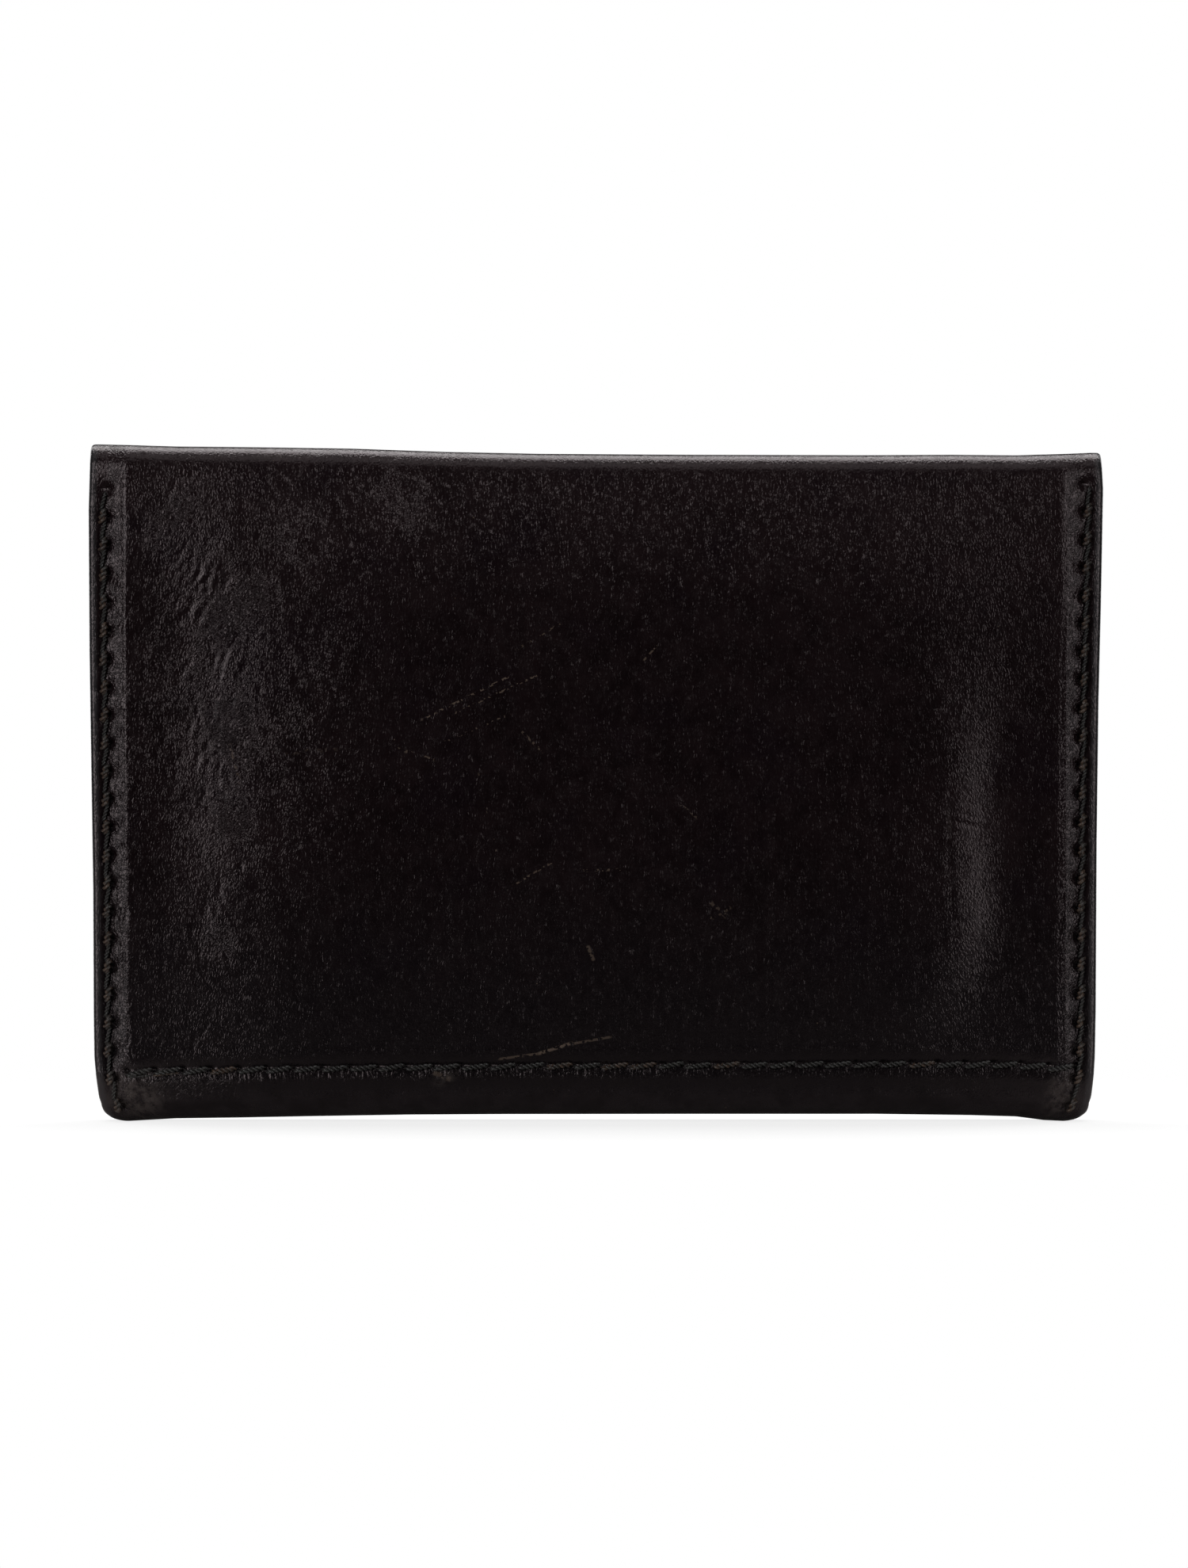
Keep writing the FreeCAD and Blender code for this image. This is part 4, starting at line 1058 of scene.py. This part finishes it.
def leather(name, rough, bump, scratched=False, grain=3.4, coat=0.0):
    """Glazed leather: pebbled grain, mottled colour with a painted sheen towards the top and a painted floor
    reflection along the base, edge paint made lighter as a painted glare, specks and worn lines, and on the
    back scuffs with a painted highlight at a foot corner.
    """
    material, shade, shader = new_material(name)
    maths, add, times, step = shade.maths, shade.add, shade.times, shade.step
    noise, mix, scaled = shade.noise, shade.mix, shade.scaled
    pattern = shade.pattern()
    sideways, height, edge = shade.node("SeparateXYZ", pattern).outputs
    flat = scaled(pattern, (1.0, 1.0, 0.0))
    # Grain: small pebbles, taller than wide, with creases between them.
    bent = noise(flat, 0.9).node.outputs["Color"]
    moved = shade.vector("ADD", flat, scaled(bent, (0.7, 0.7, 0.0)))
    tall = scaled(moved, (1.0, 0.6, 1.0))
    pebble = step(shade.borders(tall, grain), 0.0, 0.3)
    uneven = noise(tall, 0.9, 3.0, 0.6)
    # Fine creases where the leather is crumpled: long thin valleys, slanting a little.
    folds = noise(scaled(shade.turned(moved, -0.6), (3.2, 1.1, 1.0)), 1.0, 2.0, 0.55)
    valley = step(maths("ABSOLUTE", maths("SUBTRACT", folds, 0.5)), 0.0, 0.09)
    if scratched:
        crumple = crumpled_areas(shade, pattern, height, edge)
        calm = patches(shade, pattern, POLISHED_PATCHES)
    else:
        crumple = step(height, REAR_COURSE.last, REAR_COURSE.last + 9.0, 0.14, 0.25)
        calm = 0.0
    rugged = maths("MULTIPLY_ADD", calm, -0.12, maths("MULTIPLY_ADD", crumple, 1.7, 0.58))
    relief = times(add(pebble, times(noise(tall, 3.0, 1.0), 0.8)), rugged)
    relief = add(relief, times(valley, times(crumple, 1.8)))
    relief = add(relief, times(uneven, 0.9))
    if scratched:
        # The leather puckers in short upright folds just under the seam across the foot.
        under = times(step(height, 2.9, 4.4), step(height, 5.7, 5.2))
        under = times(under, step(sideways, -52.0, 46.0, 2.0, 9.0))
        relief = maths("MULTIPLY_ADD", noise(scaled(flat, (2.2, 0.35, 1.0)), 1.0, 1.0), under, relief)
    # Colour: broad mottling from almost black to a faint brown, made lighter towards the top as a painted
    # sheen.
    patchy = noise(flat, 0.33, 3.0, 0.65)
    tone = step(add(times(noise(flat, 0.055, 4.0, 0.6), 0.7), patchy), 0.62, 1.1)
    tone = add(times(tone, 0.6), step(height, 48.0, 70.0, 0.0, 0.55), clamp=True)
    colour = mix(step(noise(flat, 0.09), 0.5, 0.68, 0.0, 0.5), mix(tone, BLACK, WORN_AND_SHEEN_BLACK), PURPLE_BLACK)
    # Cooler black low down, and a painted reflection of the floor: lighter in broken patches along the base.
    colour = mix(step(height, 34.0, 6.0, 0.0, 0.75), colour, COOL_BLACK)
    # The mask of the painted floor reflection along the base.
    rubbed = times(step(height, 4.5, 0.0), step(patchy, 0.36, 0.62, 0.15, 1.0))
    colour = mix(rubbed, colour, BASE_FLOOR_REFLECTION)
    # Tiny specks of dust and wear.
    dots = shade.node("TexVoronoi", feature="F1", Vector=flat, Scale=0.42)
    chosen = shade.node("TexWhiteNoise", Vector=dots.outputs["Position"]).outputs["Value"]
    size = maths("SUBTRACT", times(chosen, 0.075), 0.035)
    marks = times(maths("LESS_THAN", dots.outputs["Distance"], size), 0.6)
    if scratched:
        marks = worn_lines(shade, pattern, marks)
    colour = mix(marks, colour, DUST)
    if scratched:
        # Scuffs and the painted corner highlight, broken up by noise.
        scuff_and_highlight_breakup = step(noise(flat, 1.1, 4.0, 0.7), 0.36, 0.62)
        colour = mix(times(patches(shade, pattern, SCUFFS_AND_HIGHLIGHTS), scuff_and_highlight_breakup), colour, SCUFF_AND_HIGHLIGHT)
    # Edge paint, lighter than the leather as a painted glare from the white surroundings.
    colour = mix(step(edge, 1.0, 0.5), colour, EDGE_PAINT_AND_GLARE)
    gloss = add(add(times(uneven, 0.22), rough - 0.11), times(crumple, -0.05))
    gloss = add(gloss, times(marks, 0.25), clamp=True)
    shade.fill(shader, Base_Color=colour, Roughness=gloss, Normal=shade.bump(relief, bump))
    shade.fill(shader, Specular_IOR_Level=0.5, Specular_Tint=(1.0, 0.85, 0.87))
    if coat:
        shade.fill(shader, Coat_Weight=coat, Coat_Roughness=0.14)
    return material


def thread_material():
    """Waxed thread: dark fibres, rubbed brown where the third coordinate is high: real wear on some stitches,
    and a painted highlight on the side seams' beads.
    """
    material, shade, shader = new_material("waxed_thread")
    pattern = shade.pattern()
    fibres = shade.noise(shade.scaled(pattern, (0.9, 9.0, 0.0)), 1.6, 3.0)
    colour = shade.mix(shade.step(fibres, 0.35, 0.7), (0.014, 0.0135, 0.013), (0.075, 0.071, 0.068))
    # Brown where the stitch is worn, and on the side seams' beads, where the brown is a painted highlight.
    worn = shade.maths("GREATER_THAN", shade.node("SeparateXYZ", pattern).outputs["Z"], 0.7)
    worn = shade.times(worn, shade.step(shade.noise(pattern, 1.1), 0.42, 0.64, 0.1, 0.75))
    colour = shade.mix(worn, colour, (0.13, 0.078, 0.052))
    shade.fill(shader, Base_Color=colour, Normal=shade.bump(fibres, 0.03, 0.9))
    shade.fill(shader, Roughness=0.32, Specular_IOR_Level=0.75)
    return material


def suede_material():
    """The lining: matte leather, skived thin, with a short nap."""
    material, shade, shader = new_material("lining_leather")
    flat = shade.scaled(shade.pattern(), (1.0, 1.0, 0.0))
    nap = shade.noise(flat, 4.5, 4.0, 0.7)
    tone = shade.step(shade.add(shade.times(nap, 0.5), shade.noise(flat, 0.12, 4.0, 0.6)), 0.5, 1.0)
    colour = shade.mix(tone, (0.012, 0.0095, 0.009), (0.042, 0.034, 0.03))
    height = shade.add(nap, shade.times(shade.borders(flat, 2.0), 1.2))
    shade.fill(shader, Base_Color=colour, Normal=shade.bump(height, 0.04, 0.8))
    shade.fill(shader, Roughness=0.72, Sheen_Weight=0.15)
    return material


def metal_material(name, dark, light, rough):
    """Metal with fine rubbed scratches and darker patches."""
    material, shade, shader = new_material(name)
    place = shade.node("TexCoord").outputs["Object"]
    rubbed = shade.noise(shade.scaled(place, (1000.0, 1000.0, 9000.0)), 0.8, 3.0)
    cloudy = shade.noise(place, 260.0, 3.0, 0.55)
    colour = shade.mix(shade.step(cloudy, 0.25, 0.75), dark, light)
    gloss = shade.add(shade.times(rubbed, 0.2), rough - 0.1)
    gloss = shade.add(gloss, shade.times(cloudy, 0.06), clamp=True)
    shade.fill(shader, Base_Color=colour, Roughness=gloss, Metallic=1.0)
    shade.fill(shader, Normal=shade.bump(rubbed, 0.01, 0.35))
    return material


back_leather = leather("black_leather_back", 0.24, 0.022, scratched=True, coat=0.06)
front_leather = leather("black_leather_front", 0.24, 0.022, coat=0.06)
gusset_leather = leather("black_leather_soft", 0.46, 0.02, grain=3.0)
lining_leather = suede_material()
waxed = thread_material()
dark_brass = metal_material("dark_brass", (0.16, 0.13, 0.10), (0.27, 0.225, 0.17), 0.26)
bright_steel = metal_material("spring_steel", (0.42, 0.42, 0.43), (0.66, 0.66, 0.67), 0.24)


# ---------------------------------------------------------------- pieces on their bodies


def m(*values):
    return tuple(v * MM for v in values)


REAR_FOLD = {"start": m(0, 7.0, 69.3), "end": m(0, 4.3, 72.0)}
FRONT_FOLD = {"start": m(0, -3.1, 72.0), "end": m(0, -5.8, 69.3)}
FOOT_FOLD = {"start": m(0, 0.4, 0.0), "end": m(0, -2.7, 4.0)}
GUSSET_SPREAD = {"start": m(0, 4.2, 0), "end": m(0, -0.6, 0)}

FLAP_LINING_NODES = ("top_strip_lining", "front_crease_lining", "flap_lining")
AT_REAR_FOLD = ("pouch", "top", REAR_FOLD)
AT_FRONT_FOLD = ("top", "flap", FRONT_FOLD)
AT_FOOT_FOLD = ("pouch", "front", FOOT_FOLD)
AT_GUSSET = ("pouch", "front", GUSSET_SPREAD)

# For each slot: (piece, material, home, replaced CAD nodes). A home is one body, or two bodies and the
# stretch between them. A piece with a one-body home is attached to that body; any other piece only has its
# transform baked.
DRESSED = {
    "black_leather": (
        (shell_back, back_leather, AT_REAR_FOLD, ("back_panel", "rear_crease")),
        (shell_flap, front_leather, AT_FRONT_FOLD, ("top_strip", "front_crease", "flap", "flap_patch")),
        (shell_front, front_leather, AT_FOOT_FOLD, ("front_panel",)),
        (gusset_left, gusset_leather, AT_GUSSET, ("left_gusset",)),
        (gusset_right, gusset_leather, AT_GUSSET, ("right_gusset",)),
    ),
    "lining": (
        (lining_back, lining_leather, AT_REAR_FOLD, ("back_lining", "rear_crease_lining")),
        (lining_flap, lining_leather, AT_FRONT_FOLD, FLAP_LINING_NODES),
        (lining_front, lining_leather, AT_FOOT_FOLD, ("front_lining",)),
        (slot_pocket, lining_leather, ("pouch",), ("rear_pocket",)),
    ),
    "thread": (
        (threads["back_left"], waxed, ("pouch",), ("rear_left_stitches",)),
        (threads["back_right"], waxed, ("pouch",), ("rear_right_stitches",)),
        (threads["foot"], waxed, ("pouch",), ("pocket_stitches",)),
        (threads["front_left"], waxed, AT_FOOT_FOLD, ("front_left_stitches",)),
        (threads["front_right"], waxed, AT_FOOT_FOLD, ("front_right_stitches",)),
        (threads["mouth"], waxed, ("front",), ("mouth_stitches",)),
        (threads["flap"], waxed, AT_FRONT_FOLD, ("flap_stitches",)),
    ),
}
for slot_name, rows in DRESSED.items():
    for piece, material, (body, *rest), replaced in rows:
        piece.data.materials.append(material)
        if rest:
            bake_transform(piece)
        else:
            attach(piece, body)
        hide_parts(*replaced)

METAL = dict.fromkeys(("snap_cap", "snap_socket", "snap_stud", "stud_rivet"), dark_brass)
for cad_name, material in {**METAL, "socket_spring": bright_steel}.items():
    cad_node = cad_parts[cad_name]
    cad_node.data.materials.clear()
    cad_node.data.materials.append(material)


# ---------------------------------------------------------------- floor, light and camera


def floor():
    """A large pale floor that fades into the white surroundings."""
    bpy.ops.mesh.primitive_circle_add(vertices=128, radius=3.0, fill_type="NGON", location=(0, 0, 0))
    disc = bpy.context.object
    disc.name = "floor"
    material, shade, shader = new_material("pale_floor")
    place = shade.node("TexCoord").outputs["Object"]
    plain = shade.mix(shade.noise(place, 35.0, 3.0), (0.3, 0.3, 0.3), (0.32, 0.32, 0.32))
    seen = shade.node("LightPath").outputs["Is Camera Ray"]
    depth = shade.maths("ABSOLUTE", shade.node("SeparateXYZ", place).outputs["Y"])
    bounced = shade.mix(shade.step(depth, 0.032, 0.014), (0.1, 0.095, 0.09), (0.6, 0.57, 0.55))
    shade.fill(shader, Base_Color=shade.mix(seen, bounced, plain), Roughness=0.9)
    shade.fill(shader, Emission_Color=(1, 1, 1), Emission_Strength=shade.times(seen, 0.8))
    fade = shade.step(shade.vector("LENGTH", place), 0.06, 0.16)
    both = shade.node("MixShader", fade, shader.outputs[0], shade.node("BsdfTransparent").outputs[0])
    output = next(n for n in shade.tree.nodes if n.type == "OUTPUT_MATERIAL")
    shade.put(output.inputs[0], both.outputs[0])
    disc.data.materials.append(material)


def surroundings():
    """White to the camera, and dim to everything else."""
    world = bpy.data.worlds.new("surroundings")
    bpy.context.scene.world = world
    world.use_nodes = True
    world.node_tree.nodes.clear()
    shade = Shading(world.node_tree)
    felt, seen = (shade.node("Background", (1, 1, 1), strength).outputs[0] for strength in (0.01, 1.0))
    both = shade.node("MixShader", shade.node("LightPath").outputs["Is Camera Ray"], felt, seen)
    shade.node("OutputWorld", both.outputs[0])


def aim(thing, target):
    """Turns a light or a camera towards a point, keeping it upright."""
    dx, dy, dz = (t - p for t, p in zip(target, thing.location))
    thing.rotation_euler = (math.atan2(math.hypot(dx, dy), -dz), 0.0, math.atan2(dy, dx) - QUARTER)


def stand(name, data, place, target):
    """A light or a camera at a place, aimed at a target."""
    thing = bpy.data.objects.new(name, data)
    bpy.context.scene.collection.objects.link(thing)
    thing.location = place
    aim(thing, target)
    return thing


def soft_box(name, place, width, height, power):
    """An area light that the camera doesn't see, aimed at the middle of the case."""
    data = bpy.data.lights.new(name, "AREA")
    data.shape = "RECTANGLE"
    data.size, data.size_y = width, height
    data.energy = power
    stand(name, data, place, (0.0, 0.0, 0.036)).visible_camera = False


floor()
surroundings()
soft_box("left_box", (0.55, 0.62, 0.16), 0.35, 0.5, 1.5)
soft_box("right_box", (-0.55, 0.62, 0.16), 0.35, 0.5, 1.1)
soft_box("top_box", (0.0, -0.32, 0.72), 0.9, 0.5, 5.0)
soft_box("overhead_box", (0.0, 0.36, 0.8), 0.9, 0.4, 0.7)
soft_box("front_left_box", (0.48, -0.70, 0.2), 0.4, 0.5, 1.2)
soft_box("front_right_box", (-0.48, -0.70, 0.2), 0.4, 0.5, 0.9)

camera_data = bpy.data.cameras.new("camera")
camera_data.sensor_width = 36.0
camera_data.lens = 215.0
bpy.context.scene.camera = stand("camera", camera_data, (0.0002, 1.0068, 0.0361), (0.0002, 0.0, 0.0361))
bpy.context.scene.view_settings.view_transform = "Standard"
